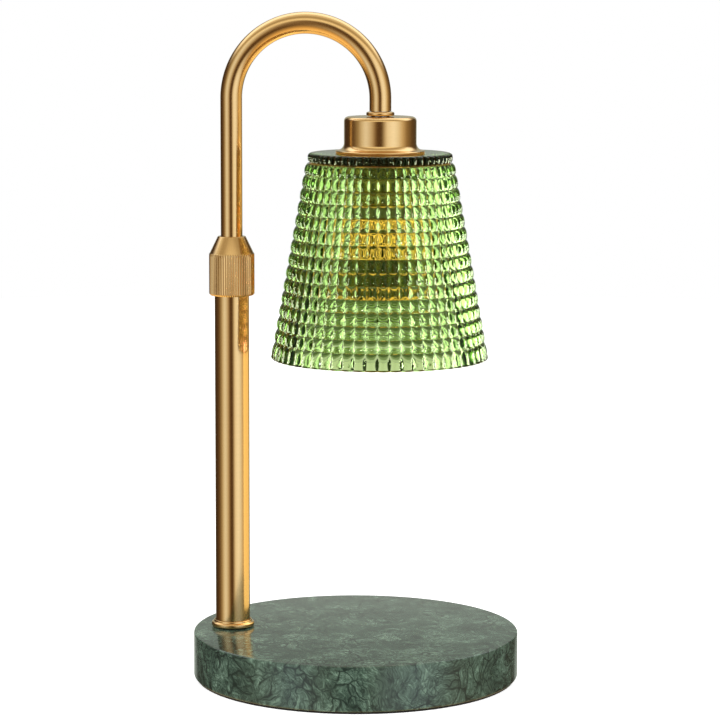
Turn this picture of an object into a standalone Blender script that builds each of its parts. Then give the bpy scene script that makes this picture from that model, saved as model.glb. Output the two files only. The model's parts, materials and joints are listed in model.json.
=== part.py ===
"""Candle warmer lamp: a stone disc, a telescoping brass post with a knurled lock collar, a hooked arm,
and a moulded glass shade over a reflector bulb that melts the candle from above.

Units are metres, +Z is up, and the origin is the middle of the base's underside. The post stands on
the -X side and the arm hooks over towards +X, so the lamp's own plane of symmetry is XZ.
"""

import math

import bmesh
import bpy
from mathutils import Matrix, Vector

MM = 0.001

# Clearances shared by every piece
GAP = 0.3 * MM  # between pieces that seat on or in each other
OVERRUN = 2 * MM  # how far a cutter runs past the face it cuts
MERGE = 0.01 * MM  # vertices this close are one

# Facet counts
LARGE_STEPS = 72
ROUND_STEPS = 36
SMALL_STEPS = 24
TINY_STEPS = 14
ARCH_STEPS = 18
CORNER_STEPS = 2
SLOT_ROOF_STEPS = 15
TUBE_SIDES_RESOLUTION = 6
LEAD_SIDES_RESOLUTION = 2

# Base
BASE_RADIUS = 75.5 * MM
MARBLE_THICKNESS = 20.8 * MM
MARBLE_EDGE_ROUND = 0.8 * MM
PAD_THICKNESS = 0.7 * MM
PAD_INSET = 1.2 * MM
POST_FROM_RIM = 17.5 * MM  # from the base's rim in to the post's axis
POCKET_RADIUS = 13 * MM
POCKET_DEPTH = 14.7 * MM
STUD_HOLE_CLEARANCE = 0.6 * MM

# Clamping stud, nut and washer under the base
STUD_RADIUS = 5 * MM
STUD_BORE_RADIUS = 3.5 * MM
WASHER_RADIUS = 9.5 * MM
WASHER_THICKNESS = 1.5 * MM
NUT_ACROSS_FLATS = 14 * MM
NUT_THICKNESS = 4.9 * MM
STUD_BELOW_NUT = 0.5 * MM
PLUG_LENGTH = 14 * MM
PLUG_FLOOR = 2 * MM  # the plug's solid top over the stud, pierced for the lead

# Cord gland in the base's rear edge
GLAND_RADIUS = 3.7 * MM
GLAND_LENGTH = 5.2 * MM
GLAND_BORE_RADIUS = 2.6 * MM
GLAND_MOUTH_RADIUS = 3.1 * MM
GLAND_SETBACK = 0.6 * MM  # its face lies this far inside the rim
GLAND_FLOOR = 0.3 * MM  # between the gland and the pad

# Post
POST_RADIUS = 8 * MM
POST_WALL = 1 * MM
POST_LENGTH = 163.1 * MM
FOOT_RING_RADIUS = 10 * MM
FOOT_RING_HEIGHT = 3.2 * MM
FOOT_RING_LIP = 0.5 * MM  # ring wall at its top edge

# Lock collar, ferrule and collet at the post's head
COLLAR_RADIUS = 10.5 * MM
COLLAR_KNURL_HEIGHT = 19.5 * MM
COLLAR_CONE_HEIGHT = 7.8 * MM
COLLAR_NOSE_RADIUS = 6.4 * MM
COLLAR_SKIRT = 7.2 * MM  # how far the collar hangs below the post's top
COLLAR_CHAMFER = 0.3 * MM
COLLAR_NOSE_LAND = 2.6 * MM  # straight bore above the collar's inner cone
KNURL_COUNT = 60
KNURL_DEPTH = 0.3 * MM
FERRULE_SHANK_LENGTH = 14 * MM
FERRULE_THREAD_LENGTH = 9.4 * MM
COLLET_HEIGHT = 4.2 * MM
COLLET_SLIT = 1.2 * MM

# Arm
ARM_RADIUS = 5 * MM
ARM_WALL = 0.7 * MM
ARM_SHOWN = 63.6 * MM  # straight arm above the collar at the height in the photograph
ARCH_RADIUS = 34.4 * MM
ARM_DROP = 5.5 * MM  # straight arm below the arch at the head end
LOWER_TRAVEL = 60 * MM
RAISE_TRAVEL = 20 * MM
BUSH_LENGTH = 12 * MM
BUSH_FLOOR = 1.5 * MM
LEAD_RADIUS = 2.2 * MM
LEAD_BEND_RADIUS = 5.5 * MM
LEAD_CLEARANCE = 0.4 * MM
LEAD_TOP_MARGIN = 2 * MM

# Head: ring, cup, inner sleeve and the nipple that ties them to the arm
END_RING_RADIUS = 6.5 * MM
END_RING_HEIGHT = 1.9 * MM
NIPPLE_MARGIN = 0.4 * MM  # the nipple ends this far short of the arch
NIPPLE_BELOW_NUT = 0.8 * MM
HEAD_NUT_ACROSS_FLATS = 12 * MM
HEAD_NUT_THICKNESS = 3.5 * MM
CUP_RADIUS = 16.6 * MM
CUP_HEIGHT = 16.2 * MM
CUP_WALL = 1 * MM
CUP_CORNER = 2 * MM
CUP_FLANGE_RADIUS = 20.5 * MM
CUP_FLARE = 3.2 * MM
SLEEVE_RADIUS = 14.5 * MM
SLEEVE_WALL = 1 * MM
SLEEVE_BELOW_GLASS = 19.5 * MM

# Glass shade
SHADE_HEIGHT = 95 * MM
SHADE_LIP_RADIUS = 33.2 * MM  # over the crowns of its beads
SHADE_LIP_HEIGHT = 4.6 * MM
SHADE_NECK_RADIUS = 33.3 * MM  # mean radius at the top of the first row of pillows
SHADE_MOUTH_RADIUS = 50.3 * MM
SHADE_WALL = 3.6 * MM
SHADE_TOP_THICKNESS = 4.2 * MM
SHADE_GROOVE = 0.7 * MM  # between the lip and the first row
SHADE_EDGE_ROUND = 0.7 * MM
SHADE_HOLE_CLEARANCE = 0.7 * MM
PILLOW_ROWS = 15
PILLOW_COLUMNS = 56
PILLOW_DEPTH = 0.7 * MM
LIP_BEAD_DEPTH = 0.4 * MM  # each column ends in a bead on the lip
FIRST_ROW_SHARE = 0.78  # the rows' heights against the even ones between them
LAST_ROW_SHARE = 1.1
GASKET_THICKNESS = 0.8 * MM
SHADE_RING_RADIUS = 19 * MM
SHADE_RING_HEIGHT = 3.5 * MM
SHADE_RING_FLUTES = 12
SHADE_RING_FLUTE_RADIUS = 1.1 * MM

# Lamp holder: ceramic body with keyhole slots for the bulb's two pins
HOLDER_HEIGHT = 18 * MM
HOLDER_FLOOR = 2.5 * MM
HOLDER_CHAMBER = 6.5 * MM
HOLDER_LEAD_POCKET = 4 * MM
CONTACT_THICKNESS = 1.2 * MM
BULB_ABOVE_SLEEVE_END = 7 * MM  # holder face above the sleeve's lower end
PIN_SPACING = 10 * MM
PIN_STEM_RADIUS = 1.5 * MM
PIN_HEAD_RADIUS = 2.4 * MM
PIN_STEM_LENGTH = 4 * MM
PIN_HEAD_LENGTH = 3 * MM
BULB_TWIST = math.radians(30)
SLOT_STEPS = 6

# Bulb
BULB_LENGTH = 47.5 * MM  # from the front rim to the ceramic cap's top, without the pins
BULB_RADIUS = 25 * MM
BULB_CAP_RADIUS = 12.3 * MM
BULB_CAP_HEIGHT = 15.4 * MM
BULB_WALL = 1.2 * MM
BULB_RIM_HEIGHT = 3.4 * MM
BULB_NECK_HOLE_RADIUS = 5.4 * MM
BOWL_STEPS = 5
BOWL_SWELL_SHARE = 0.85
LENS_THICKNESS = 1.6 * MM
LENS_SETBACK = 0.4 * MM
CAPSULE_RADIUS = 4.6 * MM
CAPSULE_LENGTH = 20 * MM
CAPSULE_PINCH_RADIUS = 3.2 * MM
CAPSULE_PINCH_LENGTH = 6 * MM

# Levels along Z, worked out from the sizes above
PAD_TOP = PAD_THICKNESS
MARBLE_BOTTOM = PAD_TOP + GAP
MARBLE_TOP = MARBLE_BOTTOM + MARBLE_THICKNESS
POCKET_ROOF = MARBLE_BOTTOM + POCKET_DEPTH
POST_BOTTOM = MARBLE_TOP + GAP
POST_TOP = POST_BOTTOM + POST_LENGTH
COLLAR_BOTTOM = POST_TOP - COLLAR_SKIRT
COLLAR_SHOULDER = COLLAR_BOTTOM + COLLAR_KNURL_HEIGHT
COLLAR_TOP = COLLAR_SHOULDER + COLLAR_CONE_HEIGHT
FERRULE_BOTTOM = POST_TOP - FERRULE_SHANK_LENGTH
FERRULE_TOP = POST_TOP + GAP + FERRULE_THREAD_LENGTH
SPRING_LEVEL = COLLAR_TOP + ARM_SHOWN  # where the arch leaves the straight arm
ARM_END = SPRING_LEVEL - ARM_DROP
BUSH_TOP = FERRULE_BOTTOM - RAISE_TRAVEL - GAP
BUSH_BOTTOM = BUSH_TOP - BUSH_LENGTH
ARM_FOOT = BUSH_BOTTOM + BUSH_FLOOR + GAP
RING_TOP = ARM_END - GAP
RING_BOTTOM = RING_TOP - END_RING_HEIGHT
CUP_TOP = RING_BOTTOM - GAP
CUP_BOTTOM = CUP_TOP - CUP_HEIGHT
SLEEVE_TOP = CUP_TOP - CUP_WALL - GAP
GLASS_TOP = CUP_BOTTOM - GAP
GLASS_UNDERSIDE = GLASS_TOP - SHADE_TOP_THICKNESS
GLASS_MOUTH = GLASS_TOP - SHADE_HEIGHT
SLEEVE_END = GLASS_UNDERSIDE - SLEEVE_BELOW_GLASS
GASKET_TOP = GLASS_UNDERSIDE - GAP
SHADE_RING_TOP = GASKET_TOP - GASKET_THICKNESS - GAP
HEAD_NUT_TOP = SLEEVE_TOP - SLEEVE_WALL - GAP
HEAD_NUT_BOTTOM = HEAD_NUT_TOP - HEAD_NUT_THICKNESS
HOLDER_FACE = SLEEVE_END + BULB_ABOVE_SLEEVE_END
HOLDER_TOP = HOLDER_FACE + HOLDER_HEIGHT
BULB_TOP = HOLDER_FACE - GAP
BULB_FRONT = BULB_TOP - BULB_LENGTH
PIN_TOP = BULB_TOP + PIN_STEM_LENGTH + PIN_HEAD_LENGTH
GLAND_LEVEL = PAD_TOP + GLAND_FLOOR + GLAND_RADIUS

# Radii that follow their neighbours
POST_BORE = POST_RADIUS - POST_WALL
ARM_BORE = ARM_RADIUS - ARM_WALL
ARM_CLEARANCE_RADIUS = ARM_RADIUS + GAP
COLLAR_BORE = POST_RADIUS + GAP
LEAD_PASSAGE = LEAD_RADIUS + LEAD_CLEARANCE
NIPPLE_RADIUS = ARM_BORE - GAP
SLEEVE_BORE = SLEEVE_RADIUS - SLEEVE_WALL
SHADE_HOLE = SLEEVE_RADIUS + SHADE_HOLE_CLEARANCE
HOLDER_RADIUS = SLEEVE_BORE - GAP

POST_AXIS_X = POST_FROM_RIM - BASE_RADIUS
HEAD_AXIS_X = POST_AXIS_X + 2 * ARCH_RADIUS


def clear_scene():
    for old in list(bpy.data.objects):
        bpy.data.objects.remove(old)


def new_collection(name):
    collection = bpy.data.collections.new(name)
    bpy.context.scene.collection.children.link(collection)
    return collection


def make_material(name, colour, roughness, metallic=0.0, alpha=1.0):
    material = bpy.data.materials.new(name)
    material.use_nodes = True
    shader = material.node_tree.nodes["Principled BSDF"]
    shader.inputs["Base Color"].default_value = (*colour, 1.0)
    shader.inputs["Roughness"].default_value = roughness
    shader.inputs["Metallic"].default_value = metallic
    shader.inputs["Alpha"].default_value = alpha
    return material


clear_scene()
PARTS = new_collection("candle_warmer_lamp")
CUTTERS = new_collection("cutters")

BRASS = make_material("brushed_brass", (0.62, 0.42, 0.18), 0.32, 1.0)
STEEL = make_material("zinc_steel", (0.62, 0.62, 0.60), 0.35, 1.0)
MARBLE = make_material("green_marble", (0.12, 0.22, 0.17), 0.12)
GLASS = make_material("green_glass", (0.30, 0.52, 0.18), 0.05, 0.0, 0.45)
FOAM = make_material("black_foam", (0.02, 0.02, 0.02), 0.9)
NYLON = make_material("white_nylon", (0.78, 0.77, 0.72), 0.45)
CERAMIC = make_material("white_ceramic", (0.85, 0.83, 0.78), 0.4)
RUBBER = make_material("black_rubber", (0.03, 0.03, 0.03), 0.7)
SILICONE = make_material("clear_silicone", (0.75, 0.76, 0.72), 0.5)
LEAD_COVER = make_material("lead_cover", (0.10, 0.10, 0.10), 0.6)
MIRROR_COAT = make_material("mirror_coat", (0.86, 0.80, 0.66), 0.12, 1.0)
CLEAR_GLASS = make_material("clear_glass", (0.9, 0.9, 0.88), 0.05, 0.0, 0.4)


def add_object(name, mesh, material, x=0.0):
    piece = bpy.data.objects.new(name, mesh)
    piece.location = (x, 0, 0)
    PARTS.objects.link(piece)
    if material is not None:
        mesh.materials.append(material)
    return piece


def as_cutter(piece):
    """Moves an object to the cutters, where it is neither shown nor built."""
    PARTS.objects.unlink(piece)
    CUTTERS.objects.link(piece)
    piece.hide_render = True
    piece.display_type = "WIRE"
    return piece


def cut(piece, cutter):
    modifier = piece.modifiers.new(cutter.name, "BOOLEAN")
    modifier.operation = "DIFFERENCE"
    modifier.object = cutter
    return piece


def corner_arc(centre, radius, start, end, steps=CORNER_STEPS):
    """Points (radius, level) on an arc between two angles in degrees, measured from outwards."""
    points = []
    for i in range(steps + 1):
        angle = math.radians(start + (end - start) * i / steps)
        points.append((centre[0] + radius * math.cos(angle), centre[1] + radius * math.sin(angle)))
    return points


def turned(name, profile, material, x=0.0, steps=ROUND_STEPS):
    """A turned piece. The profile runs down the outside and back up the inside, or ends on the axis."""
    closed = all(r > 0 for r, _ in profile)
    mesh = bpy.data.meshes.new(name)
    edges = [(i, i + 1) for i in range(len(profile) - 1)]
    if closed:
        edges.append((len(profile) - 1, 0))
    mesh.from_pydata([(r, 0, z) for r, z in profile], edges, [])
    piece = add_object(name, mesh, material, x)
    screw = piece.modifiers.new("turn", "SCREW")
    screw.steps = steps
    screw.render_steps = steps
    screw.use_merge_vertices = True
    screw.merge_threshold = MERGE
    return piece


def ring(name, outer, inner, bottom, top, material, x=0.0, steps=ROUND_STEPS):
    return turned(name, [(outer, top), (outer, bottom), (inner, bottom), (inner, top)], material, x, steps)


def disc(name, radius, bottom, top, material, x=0.0, steps=ROUND_STEPS):
    return turned(name, [(0, top), (radius, top), (radius, bottom), (0, bottom)], material, x, steps)


def rod(name, radius, bottom, top, x, steps=SMALL_STEPS):
    return as_cutter(disc(name, radius, bottom, top, None, x, steps))


def swept_mesh(name, points, radius, resolution, capped):
    """A round tube along a line of points, as a mesh."""
    curve = bpy.data.curves.new(name, "CURVE")
    curve.dimensions = "3D"
    curve.bevel_depth = radius
    curve.bevel_resolution = resolution
    curve.use_fill_caps = capped
    spline = curve.splines.new("POLY")
    spline.points.add(len(points) - 1)
    for point, place in zip(spline.points, points):
        point.co = (*place, 1)
    holder = bpy.data.objects.new(name, curve)
    PARTS.objects.link(holder)
    graph = bpy.context.evaluated_depsgraph_get()
    mesh = bpy.data.meshes.new_from_object(holder.evaluated_get(graph))
    bpy.data.objects.remove(holder)
    cleaned = bmesh.new()
    cleaned.from_mesh(mesh)
    bmesh.ops.remove_doubles(cleaned, verts=cleaned.verts, dist=MERGE)
    bmesh.ops.recalc_face_normals(cleaned, faces=cleaned.faces)
    cleaned.to_mesh(mesh)
    cleaned.free()
    return mesh


def shade_smooth(piece, angle=30):
    piece.data.shade_smooth()
    piece.data.set_sharp_from_angle(angle=math.radians(angle))
    return piece


def hex_nut(name, across_flats, bottom, top, bore, material, x):
    """A hexagonal nut whose corners are turned off, standing on the post's or the head's axis."""
    corner = across_flats / 2 / math.cos(math.pi / 6)
    mesh = bpy.data.meshes.new(name)
    made = bmesh.new()
    bmesh.ops.create_cone(
        made, cap_ends=True, segments=6, radius1=corner, radius2=corner, depth=top - bottom
    )
    bmesh.ops.translate(made, verts=made.verts, vec=(0, 0, (top + bottom) / 2))
    made.to_mesh(mesh)
    made.free()
    nut = add_object(name, mesh, material, x)
    chamfer = (corner - across_flats / 2) / 2
    envelope = turned(
        name + "_envelope",
        [
            (0, top + OVERRUN),
            (corner - chamfer - OVERRUN, top + OVERRUN),
            (corner + chamfer, top - chamfer),
            (corner + chamfer, bottom + chamfer),
            (corner - chamfer - OVERRUN, bottom - OVERRUN),
            (0, bottom - OVERRUN),
        ],
        None,
        x,
        SMALL_STEPS,
    )
    as_cutter(envelope)
    keep = nut.modifiers.new("turned_corners", "BOOLEAN")
    keep.operation = "INTERSECT"
    keep.object = envelope
    cut(nut, rod(name + "_bore", bore, bottom - OVERRUN, top + OVERRUN, x))
    return nut


# The base and what clamps the post to it


def make_base():
    pad_radius = BASE_RADIUS - PAD_INSET
    disc("foot_pad", pad_radius, 0, PAD_TOP, FOAM, 0.0, LARGE_STEPS)
    edge = MARBLE_EDGE_ROUND
    top_corner = corner_arc((BASE_RADIUS - edge, MARBLE_TOP - edge), edge, 90, 0, 2)
    marble = turned(
        "marble_base",
        [(0, MARBLE_TOP)]
        + top_corner
        + [(BASE_RADIUS, MARBLE_BOTTOM + edge), (BASE_RADIUS - edge, MARBLE_BOTTOM), (0, MARBLE_BOTTOM)],
        MARBLE,
        0.0,
        LARGE_STEPS,
    )
    below = MARBLE_BOTTOM - OVERRUN
    hole_radius = STUD_RADIUS + STUD_HOLE_CLEARANCE
    stepped_hole = [
        (0, MARBLE_TOP + OVERRUN),
        (hole_radius, MARBLE_TOP + OVERRUN),
        (hole_radius, POCKET_ROOF),
        (POCKET_RADIUS, POCKET_ROOF),
        (POCKET_RADIUS, below),
        (0, below),
    ]
    cut(marble, as_cutter(turned("nut_pocket", stepped_hole, None, POST_AXIS_X)))
    cut(marble, make_cord_slot(below))


def make_cord_slot(below):
    """The slot for the gland: round over the top and open below, from the nut's pocket to the rim."""
    half_width = GLAND_RADIUS + GAP
    outline = [(half_width, below), (half_width, GLAND_LEVEL)]
    outline += corner_arc((0, GLAND_LEVEL), half_width, 0, 180, SLOT_ROOF_STEPS)[1:-1]
    outline += [(-half_width, GLAND_LEVEL), (-half_width, below)]
    start = POST_AXIS_X - POCKET_RADIUS / 2
    length = start + BASE_RADIUS + OVERRUN
    mesh = bpy.data.meshes.new("cord_slot")
    made = bmesh.new()
    face = made.faces.new([made.verts.new((start, y, z)) for y, z in outline])
    swept = bmesh.ops.extrude_face_region(made, geom=[face])
    moved = [item for item in swept["geom"] if isinstance(item, bmesh.types.BMVert)]
    bmesh.ops.translate(made, verts=moved, vec=(-length, 0, 0))
    bmesh.ops.recalc_face_normals(made, faces=made.faces)
    made.to_mesh(mesh)
    made.free()
    return as_cutter(add_object("cord_slot", mesh, None))


def make_clamp():
    washer_top = POCKET_ROOF - GAP
    washer_bottom = washer_top - WASHER_THICKNESS
    nut_top = washer_bottom - GAP
    nut_bottom = nut_top - NUT_THICKNESS
    thread_hole = STUD_RADIUS + GAP
    ring(
        "base_washer", WASHER_RADIUS, thread_hole, washer_bottom, washer_top, STEEL, POST_AXIS_X, SMALL_STEPS
    )
    hex_nut("base_nut", NUT_ACROSS_FLATS, nut_bottom, nut_top, thread_hole, STEEL, POST_AXIS_X)
    stud_bottom = nut_bottom - STUD_BELOW_NUT
    plug_top = POST_BOTTOM + PLUG_LENGTH
    stud_top = plug_top - PLUG_FLOOR - GAP
    ring("base_stud", STUD_RADIUS, STUD_BORE_RADIUS, stud_bottom, stud_top, STEEL, POST_AXIS_X, SMALL_STEPS)
    plug_radius = POST_BORE - GAP
    turned(
        "post_plug",
        [
            (plug_radius, plug_top),
            (plug_radius, POST_BOTTOM),
            (thread_hole, POST_BOTTOM),
            (thread_hole, plug_top - PLUG_FLOOR),
            (STUD_BORE_RADIUS, plug_top - PLUG_FLOOR),
            (STUD_BORE_RADIUS, plug_top),
        ],
        STEEL,
        POST_AXIS_X,
        SMALL_STEPS,
    )


def make_gland():
    """A bush whose bore opens towards the outside, lying along X in the cord slot."""
    rounding = GLAND_MOUTH_RADIUS - GLAND_BORE_RADIUS
    gland = turned(
        "cord_gland",
        [
            (GLAND_RADIUS, 0),
            (GLAND_RADIUS, -GLAND_LENGTH),
            (GLAND_BORE_RADIUS, -GLAND_LENGTH),
            (GLAND_BORE_RADIUS, -2 * rounding),
            (GLAND_MOUTH_RADIUS, 0),
        ],
        RUBBER,
        0.0,
        TINY_STEPS,
    )
    gland.location = (GLAND_SETBACK - BASE_RADIUS, 0, GLAND_LEVEL)
    gland.rotation_euler = (0, -math.pi / 2, 0)


# The post, its foot ring, and the lock at its head


def make_post():
    ring("post_tube", POST_RADIUS, POST_BORE, POST_BOTTOM, POST_TOP, BRASS, POST_AXIS_X)
    bore = POST_RADIUS + GAP
    bead = FOOT_RING_HEIGHT / 3
    bead_centre = (FOOT_RING_RADIUS - bead, POST_BOTTOM + bead)
    turned(
        "post_foot_ring",
        [
            (bore + FOOT_RING_LIP, POST_BOTTOM + FOOT_RING_HEIGHT),
            (bore + FOOT_RING_LIP, POST_BOTTOM + 2.4 * bead),
            *corner_arc(bead_centre, bead, 90, -90, 2 * CORNER_STEPS),
            (bore, POST_BOTTOM),
            (bore, POST_BOTTOM + FOOT_RING_HEIGHT),
        ],
        BRASS,
        POST_AXIS_X,
    )


def collar_inner_cone():
    """The two ends (radius, level) of the collar's inner cone, which squeezes the collet."""
    low = (COLLAR_BORE, FERRULE_TOP)
    high = (ARM_CLEARANCE_RADIUS, COLLAR_TOP - COLLAR_NOSE_LAND)
    return low, high


def make_lock():
    low, high = collar_inner_cone()
    shank = POST_BORE - GAP
    thread_radius = COLLAR_BORE - GAP
    turned(
        "post_ferrule",
        [
            (thread_radius, FERRULE_TOP - GAP),
            (thread_radius, POST_TOP + GAP),
            (shank, POST_TOP + GAP),
            (shank, FERRULE_BOTTOM),
            (ARM_CLEARANCE_RADIUS, FERRULE_BOTTOM),
            (ARM_CLEARANCE_RADIUS, FERRULE_TOP - GAP),
        ],
        BRASS,
        POST_AXIS_X,
        SMALL_STEPS,
    )
    slope = (low[0] - high[0]) / (high[1] - low[1])
    collet_bottom = FERRULE_TOP
    collet_top = collet_bottom + COLLET_HEIGHT
    base_radius = low[0] - 2 * GAP
    collet = turned(
        "grip_collet",
        [
            (base_radius - slope * COLLET_HEIGHT, collet_top),
            (base_radius, collet_bottom),
            (ARM_CLEARANCE_RADIUS, collet_bottom),
            (ARM_CLEARANCE_RADIUS, collet_top),
        ],
        NYLON,
        POST_AXIS_X,
        SMALL_STEPS,
    )
    cut(collet, make_slit(collet_bottom - OVERRUN, collet_top + OVERRUN, base_radius + OVERRUN))
    make_collar(low, high)


def make_slit(bottom, top, reach):
    """A box that splits the collet on the side away from the head."""
    mesh = bpy.data.meshes.new("collet_slit")
    made = bmesh.new()
    size = Matrix.Diagonal((reach, COLLET_SLIT, top - bottom, 1))
    place = Matrix.Translation((-reach / 2, 0, (top + bottom) / 2))
    bmesh.ops.create_cube(made, size=1, matrix=place @ size)
    made.to_mesh(mesh)
    made.free()
    return as_cutter(add_object("collet_slit", mesh, None, POST_AXIS_X))


def make_collar(low, high):
    """The knurled nut: straight flutes round the skirt, and a plain cone that closes on the arm."""
    profile = [
        (0, COLLAR_TOP),
        (COLLAR_NOSE_RADIUS, COLLAR_TOP),
        (COLLAR_RADIUS - COLLAR_CHAMFER, COLLAR_SHOULDER),
        (COLLAR_RADIUS, COLLAR_SHOULDER - COLLAR_CHAMFER),
        (COLLAR_RADIUS, COLLAR_BOTTOM),
        (0, COLLAR_BOTTOM),
    ]
    steps = 2 * KNURL_COUNT
    collar = spun("lock_collar", profile, steps, BRASS, POST_AXIS_X)
    for vertex in collar.data.vertices:
        radius = math.hypot(vertex.co.x, vertex.co.y)
        if radius > COLLAR_RADIUS - KNURL_DEPTH and is_odd_step(vertex.co, steps):
            vertex.co.x *= (radius - KNURL_DEPTH) / radius
            vertex.co.y *= (radius - KNURL_DEPTH) / radius
    bore = [
        (0, COLLAR_TOP + OVERRUN),
        (high[0], COLLAR_TOP + OVERRUN),
        high,
        low,
        (COLLAR_BORE, COLLAR_BOTTOM - OVERRUN),
        (0, COLLAR_BOTTOM - OVERRUN),
    ]
    cut(collar, as_cutter(turned("collar_bore", bore, None, POST_AXIS_X, SMALL_STEPS)))


def spun(name, profile, steps, material, x):
    """A turned solid as plain mesh points, so that its outer wall can be pressed into flutes or pillows."""
    mesh = bpy.data.meshes.new(name)
    made = bmesh.new()
    line = [made.verts.new((r, 0, z)) for r, z in profile]
    edges = [made.edges.new(pair) for pair in zip(line, line[1:])]
    bmesh.ops.spin(
        made,
        geom=line + edges,
        cent=(0, 0, 0),
        axis=(0, 0, 1),
        angle=2 * math.pi,
        steps=steps,
        use_merge=False,
    )
    bmesh.ops.remove_doubles(made, verts=made.verts, dist=MERGE)
    bmesh.ops.recalc_face_normals(made, faces=made.faces)
    made.to_mesh(mesh)
    made.free()
    return add_object(name, mesh, material, x)


def is_odd_step(place, steps):
    turn = math.atan2(place.y, place.x) / (2 * math.pi)
    return round(turn * steps) % 2 == 1


# The arm


def arch_points(start_level, end_level):
    """The arm's centreline from a level on the post side, over the arch, to a level on the head side."""
    centre_x = (POST_AXIS_X + HEAD_AXIS_X) / 2
    points = [(POST_AXIS_X, 0, start_level)]
    for i in range(ARCH_STEPS + 1):
        angle = math.pi - math.pi * i / ARCH_STEPS
        points.append(
            (centre_x + ARCH_RADIUS * math.cos(angle), 0, SPRING_LEVEL + ARCH_RADIUS * math.sin(angle))
        )
    points.append((HEAD_AXIS_X, 0, end_level))
    return points


def make_arm():
    mesh = swept_mesh("arm_tube", arch_points(ARM_FOOT, ARM_END), ARM_RADIUS, TUBE_SIDES_RESOLUTION, False)
    tube = bpy.data.objects.new("arm_tube", mesh)
    PARTS.objects.link(tube)
    mesh.materials.append(BRASS)
    wall = tube.modifiers.new("wall", "SOLIDIFY")
    wall.thickness = ARM_WALL
    wall.offset = -1
    bush_radius = POST_BORE - GAP
    turned(
        "guide_bush",
        [
            (bush_radius, BUSH_TOP),
            (bush_radius, BUSH_BOTTOM),
            (LEAD_PASSAGE, BUSH_BOTTOM),
            (LEAD_PASSAGE, BUSH_BOTTOM + BUSH_FLOOR),
            (ARM_CLEARANCE_RADIUS, BUSH_BOTTOM + BUSH_FLOOR),
            (ARM_CLEARANCE_RADIUS, BUSH_TOP),
        ],
        NYLON,
        POST_AXIS_X,
        SMALL_STEPS,
    )


def lead(name, points):
    mesh = swept_mesh(name, points, LEAD_RADIUS, LEAD_SIDES_RESOLUTION, True)
    mesh.materials.append(LEAD_COVER)
    piece = bpy.data.objects.new(name, mesh)
    PARTS.objects.link(piece)


def make_leads():
    """The flex inside: one length from the gland up the post, and one over the arch to the holder."""
    post_lead_top = COLLAR_TOP - LEAD_TOP_MARGIN
    bend_centre_x = POST_AXIS_X - LEAD_BEND_RADIUS
    points = [(GLAND_SETBACK - BASE_RADIUS + GLAND_LENGTH + GAP, 0, GLAND_LEVEL)]
    for i in range(SLOT_STEPS + 1):
        angle = -math.pi / 2 + math.pi / 2 * i / SLOT_STEPS
        x = bend_centre_x + LEAD_BEND_RADIUS * math.cos(angle)
        z = GLAND_LEVEL + LEAD_BEND_RADIUS + LEAD_BEND_RADIUS * math.sin(angle)
        points.append((x, 0, z))
    points.append((POST_AXIS_X, 0, post_lead_top))
    lead("post_lead", points)
    arm_lead_start = post_lead_top + LOWER_TRAVEL + GAP
    arm_lead_end = HOLDER_TOP - HOLDER_LEAD_POCKET + GAP
    lead("arm_lead", arch_points(arm_lead_start, arm_lead_end))


# The head


def make_head():
    nipple_bottom = HEAD_NUT_BOTTOM - NIPPLE_BELOW_NUT
    nipple_hole = NIPPLE_RADIUS + GAP
    ring(
        "head_nipple",
        NIPPLE_RADIUS,
        LEAD_PASSAGE,
        nipple_bottom,
        SPRING_LEVEL - NIPPLE_MARGIN,
        STEEL,
        HEAD_AXIS_X,
        SMALL_STEPS,
    )
    hex_nut(
        "head_nut", HEAD_NUT_ACROSS_FLATS, HEAD_NUT_BOTTOM, HEAD_NUT_TOP, nipple_hole, STEEL, HEAD_AXIS_X
    )
    bead = END_RING_HEIGHT / 3
    turned(
        "end_ring",
        [
            (ARM_RADIUS + GAP, RING_TOP),
            *corner_arc((END_RING_RADIUS - bead, RING_BOTTOM + bead), bead, 90, -90, 2 * CORNER_STEPS),
            (nipple_hole, RING_BOTTOM),
            (nipple_hole, RING_TOP),
        ],
        BRASS,
        HEAD_AXIS_X,
        SMALL_STEPS,
    )
    make_cup(nipple_hole)
    turned(
        "holder_sleeve",
        [
            (SLEEVE_RADIUS, SLEEVE_TOP),
            (SLEEVE_RADIUS, SLEEVE_END),
            (SLEEVE_BORE, SLEEVE_END),
            (SLEEVE_BORE, SLEEVE_TOP - SLEEVE_WALL),
            (nipple_hole, SLEEVE_TOP - SLEEVE_WALL),
            (nipple_hole, SLEEVE_TOP),
        ],
        BRASS,
        HEAD_AXIS_X,
    )


def cup_outline(inset):
    """The cup's outside as an open profile, or its inside when inset by the wall."""
    radius = CUP_RADIUS - inset
    corner = CUP_CORNER - inset
    top = CUP_TOP - inset
    flare = CUP_FLARE + inset
    flare_level = CUP_BOTTOM + CUP_WALL - inset + flare
    points = corner_arc((radius - corner, top - corner), corner, 90, 0)
    points += corner_arc((radius + flare, flare_level), flare, 180, 270)
    return points


def make_cup(nipple_hole):
    """The drawn cup: rounded crown, straight wall, and a lip that flares out over the glass."""
    outside = cup_outline(0)
    inside = cup_outline(CUP_WALL)
    rim = [(CUP_FLANGE_RADIUS, CUP_BOTTOM + CUP_WALL), (CUP_FLANGE_RADIUS, CUP_BOTTOM)]
    inner_top = (nipple_hole, CUP_TOP - CUP_WALL)
    profile = outside + rim + list(reversed(inside)) + [inner_top, (nipple_hole, CUP_TOP)]
    turned("socket_cup", profile, BRASS, HEAD_AXIS_X)


# The glass shade


def shade_crown_radius(level):
    """Radius of the pillows' crowns, on a straight cone from the neck to the mouth."""
    share = (GLASS_TOP - level) / SHADE_HEIGHT
    return SHADE_NECK_RADIUS + (SHADE_MOUTH_RADIUS - SHADE_NECK_RADIUS) * share


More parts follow.
